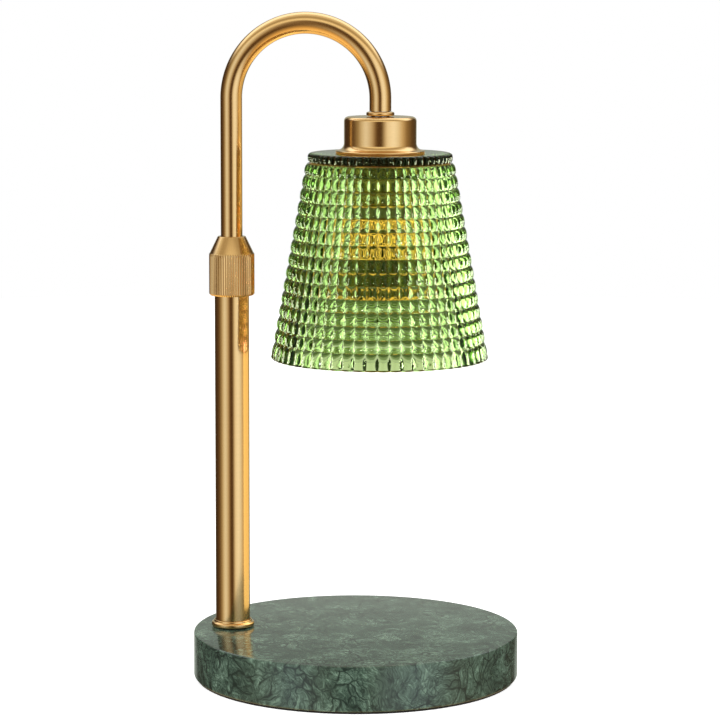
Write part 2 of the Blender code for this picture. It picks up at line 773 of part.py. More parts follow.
def row_levels():
    """The valleys between the rows of pillows, from the lip's groove down to the mouth."""
    first = GLASS_TOP - SHADE_LIP_HEIGHT - SHADE_GROOVE
    even_rows = PILLOW_ROWS - 2
    pitch = (first - GLASS_MOUTH) / (FIRST_ROW_SHARE + even_rows + LAST_ROW_SHARE)
    second = first - FIRST_ROW_SHARE * pitch
    return [first] + [second - row * pitch for row in range(even_rows + 1)]


def shade_outline():
    """The outer profile: top face, lip, groove, then a straight cone ringed at each valley."""
    edge = SHADE_EDGE_ROUND
    lip_radius = SHADE_LIP_RADIUS - LIP_BEAD_DEPTH
    points = [
        (0, GLASS_TOP),
        (lip_radius - edge, GLASS_TOP),
        (lip_radius, GLASS_TOP - edge),
        (lip_radius, GLASS_TOP - SHADE_LIP_HEIGHT),
    ]
    points += [(shade_crown_radius(level) - PILLOW_DEPTH, level) for level in row_levels()]
    points += [(SHADE_MOUTH_RADIUS - PILLOW_DEPTH, GLASS_MOUTH), (0, GLASS_MOUTH)]
    return points


def wall_cells(made, low, high):
    """The faces of the outer wall whose middles lie between two levels."""
    cells = []
    for face in made.faces:
        steep = abs(face.normal.z) < 1 - PILLOW_DEPTH / SHADE_WALL
        if steep and low < face.calc_center_median().z < high:
            cells.append(face)
    return cells


def make_shade():
    """Pressed glass: the cone is spun with one step a column, and each cell is puffed into a pillow."""
    shade = spun("glass_shade", shade_outline(), PILLOW_COLUMNS, GLASS, HEAD_AXIS_X)
    puffed = bmesh.new()
    puffed.from_mesh(shade.data)
    pillows = wall_cells(puffed, GLASS_MOUTH, row_levels()[0])
    beads = wall_cells(puffed, GLASS_TOP - SHADE_LIP_HEIGHT, GLASS_TOP - SHADE_EDGE_ROUND)
    bmesh.ops.poke(puffed, faces=pillows, offset=PILLOW_DEPTH)
    bmesh.ops.poke(puffed, faces=beads, offset=LIP_BEAD_DEPTH)
    puffed.to_mesh(shade.data)
    puffed.free()
    inner_neck = shade_crown_radius(GLASS_UNDERSIDE) - SHADE_WALL
    inner_mouth = SHADE_MOUTH_RADIUS - SHADE_WALL
    per_level = (inner_mouth - inner_neck) / (GLASS_UNDERSIDE - GLASS_MOUTH)
    corner = SHADE_WALL / 2
    hollow = [
        (0, GLASS_UNDERSIDE),
        (inner_neck - corner, GLASS_UNDERSIDE),
        (inner_neck, GLASS_UNDERSIDE - corner),
        (inner_mouth + per_level * OVERRUN, GLASS_MOUTH - OVERRUN),
        (0, GLASS_MOUTH - OVERRUN),
    ]
    inside = turned("shade_inside", hollow, None, HEAD_AXIS_X, PILLOW_COLUMNS)
    cut(shade, as_cutter(inside))
    top_hole = rod(
        "shade_hole", SHADE_HOLE, GLASS_UNDERSIDE - OVERRUN, GLASS_TOP + OVERRUN, HEAD_AXIS_X, ROUND_STEPS
    )
    cut(shade, top_hole)
    make_shade_fixing()


def make_shade_fixing():
    """A soft gasket and a fluted ring nut on the sleeve hold the glass up against the cup."""
    thread_hole = SLEEVE_RADIUS + GAP
    gasket_outer = SHADE_RING_RADIUS - SHADE_RING_FLUTE_RADIUS
    gasket_bottom = GASKET_TOP - GASKET_THICKNESS
    ring(
        "shade_gasket", gasket_outer, thread_hole, gasket_bottom, GASKET_TOP, SILICONE, HEAD_AXIS_X, SMALL_STEPS
    )
    bottom = SHADE_RING_TOP - SHADE_RING_HEIGHT
    nut = ring(
        "shade_ring", SHADE_RING_RADIUS, thread_hole, bottom, SHADE_RING_TOP, BRASS, HEAD_AXIS_X, ROUND_STEPS
    )
    mesh = bpy.data.meshes.new("shade_ring_flutes")
    made = bmesh.new()
    for i in range(SHADE_RING_FLUTES):
        angle = 2 * math.pi * (i + 0.5) / SHADE_RING_FLUTES
        place = (
            SHADE_RING_RADIUS * math.cos(angle),
            SHADE_RING_RADIUS * math.sin(angle),
            (SHADE_RING_TOP + bottom) / 2,
        )
        bmesh.ops.create_cone(
            made,
            cap_ends=True,
            segments=TINY_STEPS // 2,
            radius1=SHADE_RING_FLUTE_RADIUS,
            radius2=SHADE_RING_FLUTE_RADIUS,
            depth=SHADE_RING_HEIGHT + 2 * OVERRUN,
            matrix=Matrix.Translation(place),
        )
    made.to_mesh(mesh)
    made.free()
    cut(nut, as_cutter(add_object("shade_ring_flutes", mesh, None, HEAD_AXIS_X)))


# The lamp holder and the bulb


def arc_slot(name, half_width, bottom, top, twist):
    """Two opposite slots round the bulb's axis that let the pins turn from locked to free."""
    radius = PIN_SPACING / 2
    outer = []
    inner = []
    for i in range(SLOT_STEPS + 1):
        angle = -twist * i / SLOT_STEPS
        outer.append((radius + half_width, angle))
        inner.append((radius - half_width, angle))
    outline = [(r * math.cos(a), r * math.sin(a)) for r, a in outer]
    outline += end_round(radius, -twist, half_width, -1)
    outline += [(r * math.cos(a), r * math.sin(a)) for r, a in reversed(inner)]
    outline += end_round(radius, 0.0, half_width, 1)
    mesh = bpy.data.meshes.new(name)
    made = bmesh.new()
    for side in (1, -1):
        face = made.faces.new([made.verts.new((side * x, side * y, bottom)) for x, y in outline])
        swept = bmesh.ops.extrude_face_region(made, geom=[face])
        moved = [item for item in swept["geom"] if isinstance(item, bmesh.types.BMVert)]
        bmesh.ops.translate(made, verts=moved, vec=(0, 0, top - bottom))
    bmesh.ops.recalc_face_normals(made, faces=made.faces)
    made.to_mesh(mesh)
    made.free()
    return as_cutter(add_object(name, mesh, None, HEAD_AXIS_X))


def end_round(radius, at_angle, half_width, direction):
    """The half circle that closes one end of an arc slot, without its two end points."""
    centre = Vector((radius * math.cos(at_angle), radius * math.sin(at_angle)))
    points = []
    for i in range(1, SLOT_STEPS):
        spread = math.pi * i / SLOT_STEPS
        turn = at_angle - spread if direction < 0 else at_angle + math.pi - spread
        points.append(tuple(centre + half_width * Vector((math.cos(turn), math.sin(turn)))))
    return points


def make_holder():
    holder = disc("lamp_holder", HOLDER_RADIUS, HOLDER_FACE, HOLDER_TOP, CERAMIC, HEAD_AXIS_X)
    stem_slot = PIN_STEM_RADIUS + GAP
    head_slot = PIN_HEAD_RADIUS + GAP
    floor_top = HOLDER_FACE + HOLDER_FLOOR
    chamber_top = floor_top + HOLDER_CHAMBER
    cut(holder, arc_slot("stem_slots", stem_slot, HOLDER_FACE - OVERRUN, floor_top + GAP, BULB_TWIST))
    cut(holder, arc_slot("head_slots", head_slot, floor_top, chamber_top, BULB_TWIST))
    for side, name in ((1, "entry_hole_near"), (-1, "entry_hole_far")):
        x = HEAD_AXIS_X + side * PIN_SPACING / 2 * math.cos(BULB_TWIST)
        entry = rod(name, PIN_HEAD_RADIUS + GAP / 2, HOLDER_FACE - OVERRUN, floor_top + GAP, x, TINY_STEPS)
        entry.location.y = -side * PIN_SPACING / 2 * math.sin(BULB_TWIST)
        cut(holder, entry)
    pocket = HOLDER_TOP - HOLDER_LEAD_POCKET
    cut(holder, rod("lead_pocket", LEAD_PASSAGE, pocket, HOLDER_TOP + OVERRUN, HEAD_AXIS_X, TINY_STEPS))
    for number, side in ((1, 1), (2, -1)):
        contact_bottom = PIN_TOP + GAP
        contact = disc(
            f"holder_contact_{number}",
            PIN_HEAD_RADIUS,
            contact_bottom,
            contact_bottom + CONTACT_THICKNESS,
            BRASS,
            HEAD_AXIS_X + side * PIN_SPACING / 2,
            TINY_STEPS,
        )
        shade_smooth(contact)


def reflector_outline(inset):
    """The reflector's bowl as shares of its length and radius, drawn in by the wall's thickness."""
    rim_top = BULB_FRONT + BULB_RIM_HEIGHT
    neck_level = BULB_TOP - BULB_CAP_HEIGHT
    bowl_height = neck_level - rim_top
    neck_radius = BULB_CAP_RADIUS
    points = []
    for i in range(BOWL_STEPS + 1):
        share = i / BOWL_STEPS
        swell = math.sin(share * math.pi / 2) ** BOWL_SWELL_SHARE
        radius = neck_radius + (BULB_RADIUS - BULB_WALL / 2 - neck_radius) * swell
        points.append((radius - inset, neck_level - inset * (1 - share) - share * bowl_height))
    return points


def make_bulb():
    cap_bottom = BULB_TOP - BULB_CAP_HEIGHT + GAP
    edge = BULB_WALL / 2
    turned(
        "bulb_cap",
        [
            (0, BULB_TOP),
            (BULB_CAP_RADIUS - edge, BULB_TOP),
            (BULB_CAP_RADIUS, BULB_TOP - edge),
            (BULB_CAP_RADIUS, cap_bottom),
            (0, cap_bottom),
        ],
        CERAMIC,
        HEAD_AXIS_X,
        SMALL_STEPS,
    )
    outside = reflector_outline(0)
    inside = reflector_outline(BULB_WALL)
    rim_inner = BULB_RADIUS - BULB_WALL
    rim_top = BULB_FRONT + BULB_RIM_HEIGHT
    neck_level = BULB_TOP - BULB_CAP_HEIGHT
    turned(
        "bulb_reflector",
        outside
        + [(BULB_RADIUS, rim_top - edge), (BULB_RADIUS, BULB_FRONT), (rim_inner, BULB_FRONT)]
        + [(rim_inner, rim_top - edge)]
        + list(reversed(inside))
        + [(BULB_NECK_HOLE_RADIUS, neck_level - BULB_WALL), (BULB_NECK_HOLE_RADIUS, neck_level)],
        MIRROR_COAT,
        HEAD_AXIS_X,
        SMALL_STEPS,
    )
    lens_bottom = BULB_FRONT + LENS_SETBACK
    disc(
        "bulb_lens", rim_inner - GAP, lens_bottom, lens_bottom + LENS_THICKNESS, CLEAR_GLASS, HEAD_AXIS_X
    )
    capsule_top = cap_bottom - GAP
    shoulder = capsule_top - CAPSULE_PINCH_LENGTH
    capsule_bottom = capsule_top - CAPSULE_LENGTH
    turned(
        "bulb_capsule",
        [
            (0, capsule_top),
            (CAPSULE_PINCH_RADIUS, capsule_top),
            (CAPSULE_PINCH_RADIUS, shoulder),
            (CAPSULE_RADIUS, shoulder - CAPSULE_RADIUS / 2),
            (CAPSULE_RADIUS, capsule_bottom + CAPSULE_RADIUS),
            *corner_arc((0, capsule_bottom + CAPSULE_RADIUS), CAPSULE_RADIUS, 0, -90)[1:-1],
            (0, capsule_bottom),
        ],
        CLEAR_GLASS,
        HEAD_AXIS_X,
        TINY_STEPS,
    )
    for number, side in ((1, 1), (2, -1)):
        step = BULB_TOP + PIN_STEM_LENGTH
        turned(
            f"bulb_pin_{number}",
            [
                (0, PIN_TOP),
                (PIN_HEAD_RADIUS, PIN_TOP),
                (PIN_HEAD_RADIUS, step),
                (PIN_STEM_RADIUS, step),
                (PIN_STEM_RADIUS, BULB_TOP + GAP),
                (0, BULB_TOP + GAP),
            ],
            STEEL,
            HEAD_AXIS_X + side * PIN_SPACING / 2,
            TINY_STEPS,
        )


make_base()
make_clamp()
make_gland()
make_post()
make_lock()
make_arm()
make_leads()
make_head()
make_shade()
make_holder()
make_bulb()

for part in PARTS.objects:
    shade_smooth(part)
print("candle warmer lamp:", len(PARTS.objects), "pieces")
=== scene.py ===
import json
import math

import bmesh
import bpy
from mathutils import Matrix, Vector


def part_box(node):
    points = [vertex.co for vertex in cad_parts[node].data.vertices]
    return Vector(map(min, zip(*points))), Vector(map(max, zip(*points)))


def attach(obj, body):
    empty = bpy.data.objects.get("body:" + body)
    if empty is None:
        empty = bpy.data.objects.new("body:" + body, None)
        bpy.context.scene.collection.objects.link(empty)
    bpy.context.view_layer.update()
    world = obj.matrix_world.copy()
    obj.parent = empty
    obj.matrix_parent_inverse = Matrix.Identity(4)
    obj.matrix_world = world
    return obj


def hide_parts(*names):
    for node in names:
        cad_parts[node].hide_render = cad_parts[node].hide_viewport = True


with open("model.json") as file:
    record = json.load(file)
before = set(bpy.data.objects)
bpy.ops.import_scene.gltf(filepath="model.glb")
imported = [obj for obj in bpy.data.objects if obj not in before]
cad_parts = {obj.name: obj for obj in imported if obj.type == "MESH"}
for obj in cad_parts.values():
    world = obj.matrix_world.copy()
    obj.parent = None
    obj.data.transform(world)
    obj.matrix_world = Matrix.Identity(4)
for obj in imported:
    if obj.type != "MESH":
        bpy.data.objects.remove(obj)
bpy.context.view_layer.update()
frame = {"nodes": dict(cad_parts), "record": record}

MM = 0.001
NODES = frame["nodes"]
BODY_OF = {node: body for body, nodes in frame["record"]["behaviour"]["bodies"].items() for node in nodes}
SLOT_OF = {row["node"]: row["material_slot"] for row in frame["record"]["subparts"]}
CLEARANCE = 0.3 * MM  # between pieces that seat on or in each other
SHARP_DEGREES = 32  # edges that bend more than this stay crisp
SMALL_STEPS = 96  # sides of the plain turned pieces, from the smallest to the base
ROUND_STEPS = 128
CUP_STEPS = 160
BASE_STEPS = 256


# Camera, fitted to the photograph's edges, in metres and radians. The lamp's own plane is turned a little from the
# picture.
TURN = 0.113
CAMERA_BACK = 1.3575
CAMERA_SIDE = 0.0017
CAMERA_HEIGHT = 0.3301
CAMERA_PITCH = 0.1329
CAMERA_ROLL = 0.0022
FOCAL_PIXELS = 2966
FRAME_PIXELS = 720
SENSOR = 36.0
CLIP_START = 0.01

camera_data = bpy.data.cameras.new("camera")
camera_data.sensor_width = SENSOR
camera_data.lens = FOCAL_PIXELS / FRAME_PIXELS * SENSOR
camera_data.clip_start = CLIP_START
camera = bpy.data.objects.new("camera", camera_data)
bpy.context.scene.collection.objects.link(camera)
bpy.context.scene.camera = camera
camera.matrix_world = (
    Matrix.Rotation(TURN, 4, "Z")
    @ Matrix.Translation((CAMERA_SIDE, -CAMERA_BACK, CAMERA_HEIGHT))
    @ Matrix.Rotation(math.pi / 2 - CAMERA_PITCH, 4, "X")
    @ Matrix.Rotation(CAMERA_ROLL, 4, "Z")
)


# Node helpers. Each returns an output socket, apart from new_material and add, and wire and bump, which only join.


def new_material(name):
    material = bpy.data.materials.new(name)
    material.use_nodes = True
    tree = material.node_tree
    return material, tree, tree.nodes["Principled BSDF"]


def add(tree, kind, **values):
    node = tree.nodes.new(kind)
    for key, value in values.items():
        setattr(node, key, value)
    return node


def wire(tree, source, target):
    tree.links.new(source, target)


def place_on(tree):
    return add(tree, "ShaderNodeTexCoord").outputs["Object"]


def scaled(tree, vector, scale, offset=(0, 0, 0)):
    mapping = add(tree, "ShaderNodeMapping")
    mapping.inputs["Scale"].default_value = scale
    mapping.inputs["Location"].default_value = offset
    wire(tree, vector, mapping.inputs["Vector"])
    return mapping.outputs["Vector"]


def noise(tree, vector, scale, detail=4.0, roughness=0.5, distortion=0.0, output="Fac"):
    node = add(tree, "ShaderNodeTexNoise")
    node.inputs["Scale"].default_value = scale
    node.inputs["Detail"].default_value = detail
    node.inputs["Roughness"].default_value = roughness
    node.inputs["Distortion"].default_value = distortion
    wire(tree, vector, node.inputs["Vector"])
    return node.outputs[output]


def cell_edges(tree, vector, scale):
    """Distance to the edges of the cells of a Voronoi pattern."""
    node = add(tree, "ShaderNodeTexVoronoi", feature="DISTANCE_TO_EDGE")
    node.inputs["Scale"].default_value = scale
    wire(tree, vector, node.inputs["Vector"])
    return node.outputs["Distance"]


def span(tree, value, low, high, to_low, to_high, smooth=False):
    """Maps the range low, high onto to_low, to_high, clamped at both ends."""
    node = add(tree, "ShaderNodeMapRange")
    if smooth:
        node.interpolation_type = "SMOOTHSTEP"
    node.inputs["From Min"].default_value = low
    node.inputs["From Max"].default_value = high
    node.inputs["To Min"].default_value = to_low
    node.inputs["To Max"].default_value = to_high
    wire(tree, value, node.inputs["Value"])
    return node.outputs["Result"]


def maths(tree, operation, first, second=None):
    node = add(tree, "ShaderNodeMath", operation=operation)
    for socket, value in zip(node.inputs, (first, second)):
        if value is None:
            continue
        if isinstance(value, (int, float)):
            socket.default_value = value
        else:
            wire(tree, value, socket)
    return node.outputs["Value"]


def ramp(tree, value, stops):
    node = add(tree, "ShaderNodeValToRGB")
    elements = node.color_ramp.elements
    while len(elements) < len(stops):
        elements.new(0.5)
    for element, (place, colour) in zip(elements, stops):
        element.position = place
        element.color = (*colour, 1.0)
    wire(tree, value, node.inputs["Fac"])
    return node.outputs["Color"]


def mix(tree, factor, first, second, blend="MIX"):
    node = add(tree, "ShaderNodeMix", data_type="RGBA", blend_type=blend)
    colours = [s for s in node.inputs if s.type == "RGBA"]
    if isinstance(factor, (int, float)):
        node.inputs[0].default_value = factor
    else:
        wire(tree, factor, node.inputs[0])
    for socket, value in zip(colours, (first, second)):
        if isinstance(value, tuple):
            socket.default_value = (*value, 1.0)
        else:
            wire(tree, value, socket)
    return [s for s in node.outputs if s.type == "RGBA"][0]


def bump(tree, shader, height, strength, distance):
    node = add(tree, "ShaderNodeBump")
    node.inputs["Strength"].default_value = strength
    node.inputs["Distance"].default_value = distance
    wire(tree, height, node.inputs["Height"])
    wire(tree, node.outputs["Normal"], shader.inputs["Normal"])


# Materials. Texture scales are in cycles a metre, bump distances in metres.

METAL_VARY = 0.05


def tones(colour, vary):
    """The colour a little darker, and a little lighter."""
    return tuple(c * (1 - vary) for c in colour), tuple(min(1.0, c * (1 + vary)) for c in colour)


def metal(name, colour, roughness, brush=(60, 2600), by_uv=True):
    """Satin metal: fine brush lines that run round the piece, a soft speckle and a faint change of tone."""
    material, tree, shader = new_material(name)
    place = add(tree, "ShaderNodeTexCoord")
    flat = place.outputs["UV"] if by_uv else place.outputs["Object"]
    round_it, along_it = brush
    lines = noise(tree, scaled(tree, flat, (round_it, along_it, round_it)), 1.0, 3.0, 0.6)
    speckle = noise(tree, place.outputs["Object"], 2600, 2.0, 0.6)
    cloud = noise(tree, place.outputs["Object"], 38, 3.0)
    both = mix(tree, 0.4, lines, speckle)
    low, high = tones(colour, METAL_VARY)
    toned = mix(tree, span(tree, both, 0.3, 0.7, 0, 1), low, high)
    wire(tree, mix(tree, span(tree, cloud, 0.35, 0.7, 0, 0.35), toned, low), shader.inputs["Base Color"])
    wire(tree, span(tree, both, 0.25, 0.75, roughness - 0.02, roughness + 0.03), shader.inputs["Roughness"])
    shader.inputs["Metallic"].default_value = 1.0
    bump(tree, shader, both, 0.05, 0.00006)
    return material


def plain(name, colour, roughness, scale=900.0, vary=0.06, depth=0.00005):
    """A moulded, cast or rubbery surface with a fine grain and slight unevenness."""
    material, tree, shader = new_material(name)
    place = place_on(tree)
    grain = noise(tree, place, scale, 4.0, 0.6)
    cloud = noise(tree, place, scale / 14, 3.0)
    low, high = tones(colour, vary)
    wire(tree, mix(tree, mix(tree, 0.5, grain, cloud), low, high), shader.inputs["Base Color"])
    wire(tree, span(tree, grain, 0.3, 0.7, roughness - 0.05, roughness + 0.06), shader.inputs["Roughness"])
    bump(tree, shader, grain, 0.3, depth)
    return material


GLASS_IOR = 1.5
# Painted glow: warm light painted onto the shade's image in the brass
PAINTED_MIRROR_GLOW = 0.24
PAINTED_MIRROR_GLOW_COLOUR = (1.0, 0.52, 0.15)


def glass(name, colour, roughness, density=0.0, absorb=(1, 1, 1), glint=(1, 1, 1), painted_mirror_tint=None):
    """Clear or coloured glass. With painted_mirror_tint, its image in the brass is a painted reflection: it takes
    that tint and a painted warm glow.

    The rays of that image are glossy, with no transmission before them.
    """
    material, tree, shader = new_material(name)
    if painted_mirror_tint:
        path = add(tree, "ShaderNodeLightPath")
        from_outside = maths(tree, "LESS_THAN", path.outputs["Transmission Depth"], 0.5)
        in_mirror = maths(tree, "MULTIPLY", path.outputs["Is Glossy Ray"], from_outside)
        wire(tree, mix(tree, in_mirror, colour, painted_mirror_tint), shader.inputs["Base Color"])
        painted_glow = maths(tree, "MULTIPLY", in_mirror, PAINTED_MIRROR_GLOW)
        wire(tree, painted_glow, shader.inputs["Emission Strength"])
        shader.inputs["Emission Color"].default_value = (*PAINTED_MIRROR_GLOW_COLOUR, 1.0)
    else:
        shader.inputs["Base Color"].default_value = (*colour, 1.0)
    shader.inputs["Roughness"].default_value = roughness
    shader.inputs["IOR"].default_value = GLASS_IOR
    shader.inputs["Specular Tint"].default_value = (*glint, 1.0)
    shader.inputs["Transmission Weight"].default_value = 1.0
    place = place_on(tree)
    ripple = noise(tree, place, 120, 3.0, 0.5)
    bump(tree, shader, ripple, 0.35, 0.0006)
    if density:
        volume = add(tree, "ShaderNodeVolumeAbsorption")
        volume.inputs["Color"].default_value = (*absorb, 1.0)
        volume.inputs["Density"].default_value = density
        wire(tree, volume.outputs["Volume"], tree.nodes["Material Output"].inputs["Volume"])
    return material


# Painted glow of the bulb's coat, as gold glints, from its front (0) to its cap (1)
PAINTED_COAT_GLOW = [
    (0.0, 0.9),
    (0.035, 0.9),
    (0.05, 0.05),
    (0.075, 0.05),
    (0.09, 1.0),
    (0.178, 1.0),
    (0.19, 0.02),
    (0.565, 0.02),
    (0.585, 0.9),
    (0.695, 0.9),
    (0.71, 0.1),
    (0.73, 1.3),
]
COAT_GOLD = (0.85, 0.62, 0.25)
# Colour and strength of the painted glow on the coat
PAINTED_COAT_LIGHT = (1.0, 0.50, 0.10)
PAINTED_COAT_STRENGTH = 1.9


def bulb_coat(name, low, high):
    """Gold coat of the bulb's reflector: a faceted neck and rim with a painted glow as glints, with a dark green belt
    between them.
    """
    material, tree, shader = new_material(name)
    place = place_on(tree)
    split = add(tree, "ShaderNodeSeparateXYZ")
    wire(tree, place, split.inputs["Vector"])
    share = span(tree, split.outputs["Z"], low, high, 0, 1)
    facets = cell_edges(tree, scaled(tree, place, (1.0, 1.0, 0.6)), 430)
    lattice = span(tree, facets, 0.05, 0.17, 1, 0, True)
    painted_glow = ramp(tree, share, [(place, (level, level, level)) for place, level in PAINTED_COAT_GLOW])
    coat = mix(tree, painted_glow, (0.10, 0.14, 0.03), (0.07, 0.08, 0.015))
    coat = mix(tree, maths(tree, "MULTIPLY", lattice, 0.5), coat, COAT_GOLD)
    wire(tree, coat, shader.inputs["Base Color"])
    shader.inputs["Metallic"].default_value = 0.9
    wire(tree, span(tree, lattice, 0, 1, 0.30, 0.18), shader.inputs["Roughness"])
    shader.inputs["Emission Color"].default_value = (*PAINTED_COAT_LIGHT, 1.0)
    # painted glow along the facet lines of the neck and rim
    painted_shine = maths(tree, "MULTIPLY", painted_glow, maths(tree, "MULTIPLY", lattice, PAINTED_COAT_STRENGTH))
    wire(tree, painted_shine, shader.inputs["Emission Strength"])
    bump(tree, shader, lattice, 0.4, 0.0003)
    return material


STONE_TONES = [
    (0.32, (0.040, 0.066, 0.049)),
    (0.44, (0.062, 0.100, 0.074)),
    (0.52, (0.086, 0.137, 0.101)),
    (0.60, (0.124, 0.190, 0.141)),
    (0.72, (0.185, 0.270, 0.205)),
]
FEATHER_TONES = [(0.34, (0.30, 0.32, 0.31)), (0.50, (0.86, 0.88, 0.87)), (0.66, (2.10, 2.05, 2.00))]
SPECK_TONES = [(0.34, (0.55, 0.56, 0.56)), (0.52, (0.96, 0.97, 0.96)), (0.70, (1.55, 1.52, 1.50))]
FINE_CRACK_COLOUR = (0.018, 0.030, 0.023)
DARK_CRACK_COLOUR = (0.014, 0.024, 0.019)
STONE_WARP = 0.034
STONE_LEAN = (0.5, 0.7, 0.3)
STONE_IOR = 1.46


def marble(name):
    """Dark green stone: feathered patches that lean one way, with coarse and fine dark cracks in places."""
    material, tree, shader = new_material(name)
    place = place_on(tree)
    warp = noise(tree, place, 34, 3.0, 0.55, output="Color")
    push = add(tree, "ShaderNodeVectorMath", operation="MULTIPLY_ADD")
    wire(tree, warp, push.inputs[0])
    push.inputs[1].default_value = (STONE_WARP, STONE_WARP, STONE_WARP)
    wire(tree, place, push.inputs[2])
    bent = push.outputs["Vector"]
    patches = noise(tree, bent, 64, 5.0, 0.62, 0.5)
    lean = add(tree, "ShaderNodeVectorRotate", rotation_type="EULER_XYZ")
    lean.inputs["Rotation"].default_value = STONE_LEAN
    wire(tree, bent, lean.inputs["Vector"])
    streaks = noise(tree, scaled(tree, lean.outputs["Vector"], (1.0, 1.0, 0.24)), 780, 5.0, 0.74, 0.9)
    specks = noise(tree, bent, 520, 6.0, 0.74, 0.5)
    body = ramp(tree, patches, STONE_TONES)
    body = mix(tree, 0.85, body, ramp(tree, streaks, FEATHER_TONES), "MULTIPLY")
    body = mix(tree, 0.75, body, ramp(tree, specks, SPECK_TONES), "MULTIPLY")
    # Each kind of crack shows only where a slow noise lets it
    cells = cell_edges(tree, bent, 120)
    small = cell_edges(tree, bent, 380)
    patchy = span(tree, noise(tree, place, 60, 3.0), 0.40, 0.54, 0, 1, True)
    elsewhere = scaled(tree, place, (1, 1, 1), (3, 5, 7))
    other = span(tree, noise(tree, elsewhere, 75, 3.0), 0.44, 0.58, 0, 1, True)
    dark_crack = maths(tree, "MULTIPLY", span(tree, cells, 0.0, 0.09, 1, 0, True), patchy)
    fine_crack = maths(tree, "MULTIPLY", span(tree, small, 0.0, 0.10, 1, 0, True), other)
    body = mix(tree, maths(tree, "MULTIPLY", fine_crack, 0.82), body, FINE_CRACK_COLOUR)
    body = mix(tree, maths(tree, "MULTIPLY", dark_crack, 0.95), body, DARK_CRACK_COLOUR)
    wire(tree, body, shader.inputs["Base Color"])
    wire(tree, span(tree, patches, 0.3, 0.7, 0.09, 0.16), shader.inputs["Roughness"])
    shader.inputs["IOR"].default_value = STONE_IOR
    bump(tree, shader, noise(tree, place, 420, 3.0), 0.05, 0.00004)
    return material


EVEN_BRUSH = (300, 300)
FINISH = {
    "brushed_brass": metal("brushed_brass_finish", (0.80, 0.555, 0.262), 0.17),
    "contact_brass": metal("contact_brass_finish", (0.72, 0.50, 0.22), 0.35, brush=EVEN_BRUSH, by_uv=False),
    "zinc_steel": metal("zinc_steel_finish", (0.60, 0.60, 0.58), 0.33, brush=EVEN_BRUSH, by_uv=False),
    "green_marble": marble("green_marble_finish"),
    "green_glass": glass(
        "green_glass_finish",
        (0.95, 0.97, 0.80),
        0.0,
        density=370,
        absorb=(0.40, 0.60, 0.08),
        glint=(0.42, 0.55, 0.32),
        # painted reflection: brown tint of the shade's image in the brass
        painted_mirror_tint=(1.0, 0.26, 0.30),
    ),
    "black_foam": plain("black_foam_finish", (0.018, 0.018, 0.018), 0.9, scale=1400, vary=0.2, depth=0.0002),
    "white_nylon": plain("white_nylon_finish", (0.76, 0.75, 0.70), 0.42),
    # a beige ceramic, darkened further as painted shade for its place inside the glass shade
    "white_ceramic": plain("white_ceramic_finish", (0.46, 0.38, 0.24), 0.38),
    "black_rubber": plain("black_rubber_finish", (0.025, 0.025, 0.025), 0.62),
    "clear_silicone": plain("clear_silicone_finish", (0.72, 0.73, 0.69), 0.48),
    "lead_cover": plain("lead_cover_finish", (0.06, 0.06, 0.06), 0.55),
    "mirror_coat": bulb_coat("mirror_coat_finish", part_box("bulb_reflector")[0].z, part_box("bulb_reflector")[1].z),
    "clear_glass": glass("clear_glass_finish", (0.97, 0.97, 0.95), 0.02),
}


def finish_of(node):
    return FINISH[SLOT_OF[node]]


# Shapes


def rounded(points, steps=5):
    """A profile of (radius, level, fillet) corners as a line of points, with each fillet drawn as an arc."""
    line = []
    for i, (r, z, fillet) in enumerate(points):
        here = Vector((r, z))
        if not fillet or i in (0, len(points) - 1):
            line.append((r, z))
            continue
        before = Vector(points[i - 1][:2]) - here
        after = Vector(points[i + 1][:2]) - here
        half = before.angle(after) / 2
        reach = min(fillet / math.tan(half), 0.49 * before.length, 0.49 * after.length)
        radius = reach * math.tan(half)
        centre = here + (before.normalized() + after.normalized()).normalized() * (radius / math.sin(half))
        start = here + before.normalized() * reach - centre
        end = here + after.normalized() * reach - centre
        turn = math.atan2(start.x * end.y - start.y * end.x, start.dot(end))
        for k in range(steps + 1):
            a = turn * k / steps
            spun = Vector(
                (start.x * math.cos(a) - start.y * math.sin(a), start.x * math.sin(a) + start.y * math.cos(a))
            )
            line.append(tuple(centre + spun))
    return line


def eased(k, steps):
    """Share of a cell at step k, with the steps closer together at its two ends."""
    return 0.5 - 0.5 * math.cos(math.pi * k / steps)


def lathe(name, profile, cx, steps, radius_at=None, angles=None):
    """Turns a profile about the vertical at cx, in even steps or at the angles given.

    A profile that touches the axis isn't closed on itself. radius_at(radius, level, angle) may press a pattern
    into it.
    """
    made = bmesh.new()
    angles = angles or [2 * math.pi * k / steps for k in range(steps)]
    uv = made.loops.layers.uv.new("turned")
    closed = all(r > 0 for r, _ in profile)
    lengths = [0.0]
    for a, b in zip(profile, profile[1:] + profile[:1]):
        lengths.append(lengths[-1] + math.dist(a, b))
    rings = []
    for r, z in profile:
        if r <= 0:
            rings.append([made.verts.new((cx, 0, z))] * steps)
            continue
        ring = []
        for angle in angles:
            reach = radius_at(r, z, angle) if radius_at else r
            ring.append(made.verts.new((cx + reach * math.cos(angle), reach * math.sin(angle), z)))
        rings.append(ring)
    widest = max(r for r, _ in profile)
    count = len(profile) if closed else len(profile) - 1
    for i in range(count):
        upper, lower = rings[i], rings[(i + 1) % len(rings)]
        for k in range(steps):
            n = (k + 1) % steps
            corners = [(upper[k], k, i), (lower[k], k, i + 1), (lower[n], k + 1, i + 1), (upper[n], k + 1, i)]
            kept = []
            for corner in corners:
                if corner[0] not in [c[0] for c in kept]:
                    kept.append(corner)
            face = made.faces.new([c[0] for c in kept])
            for loop, (_, turn, row) in zip(face.loops, kept):
                loop[uv].uv = (2 * math.pi * widest * turn / steps, lengths[row])
    return to_object(name, made)


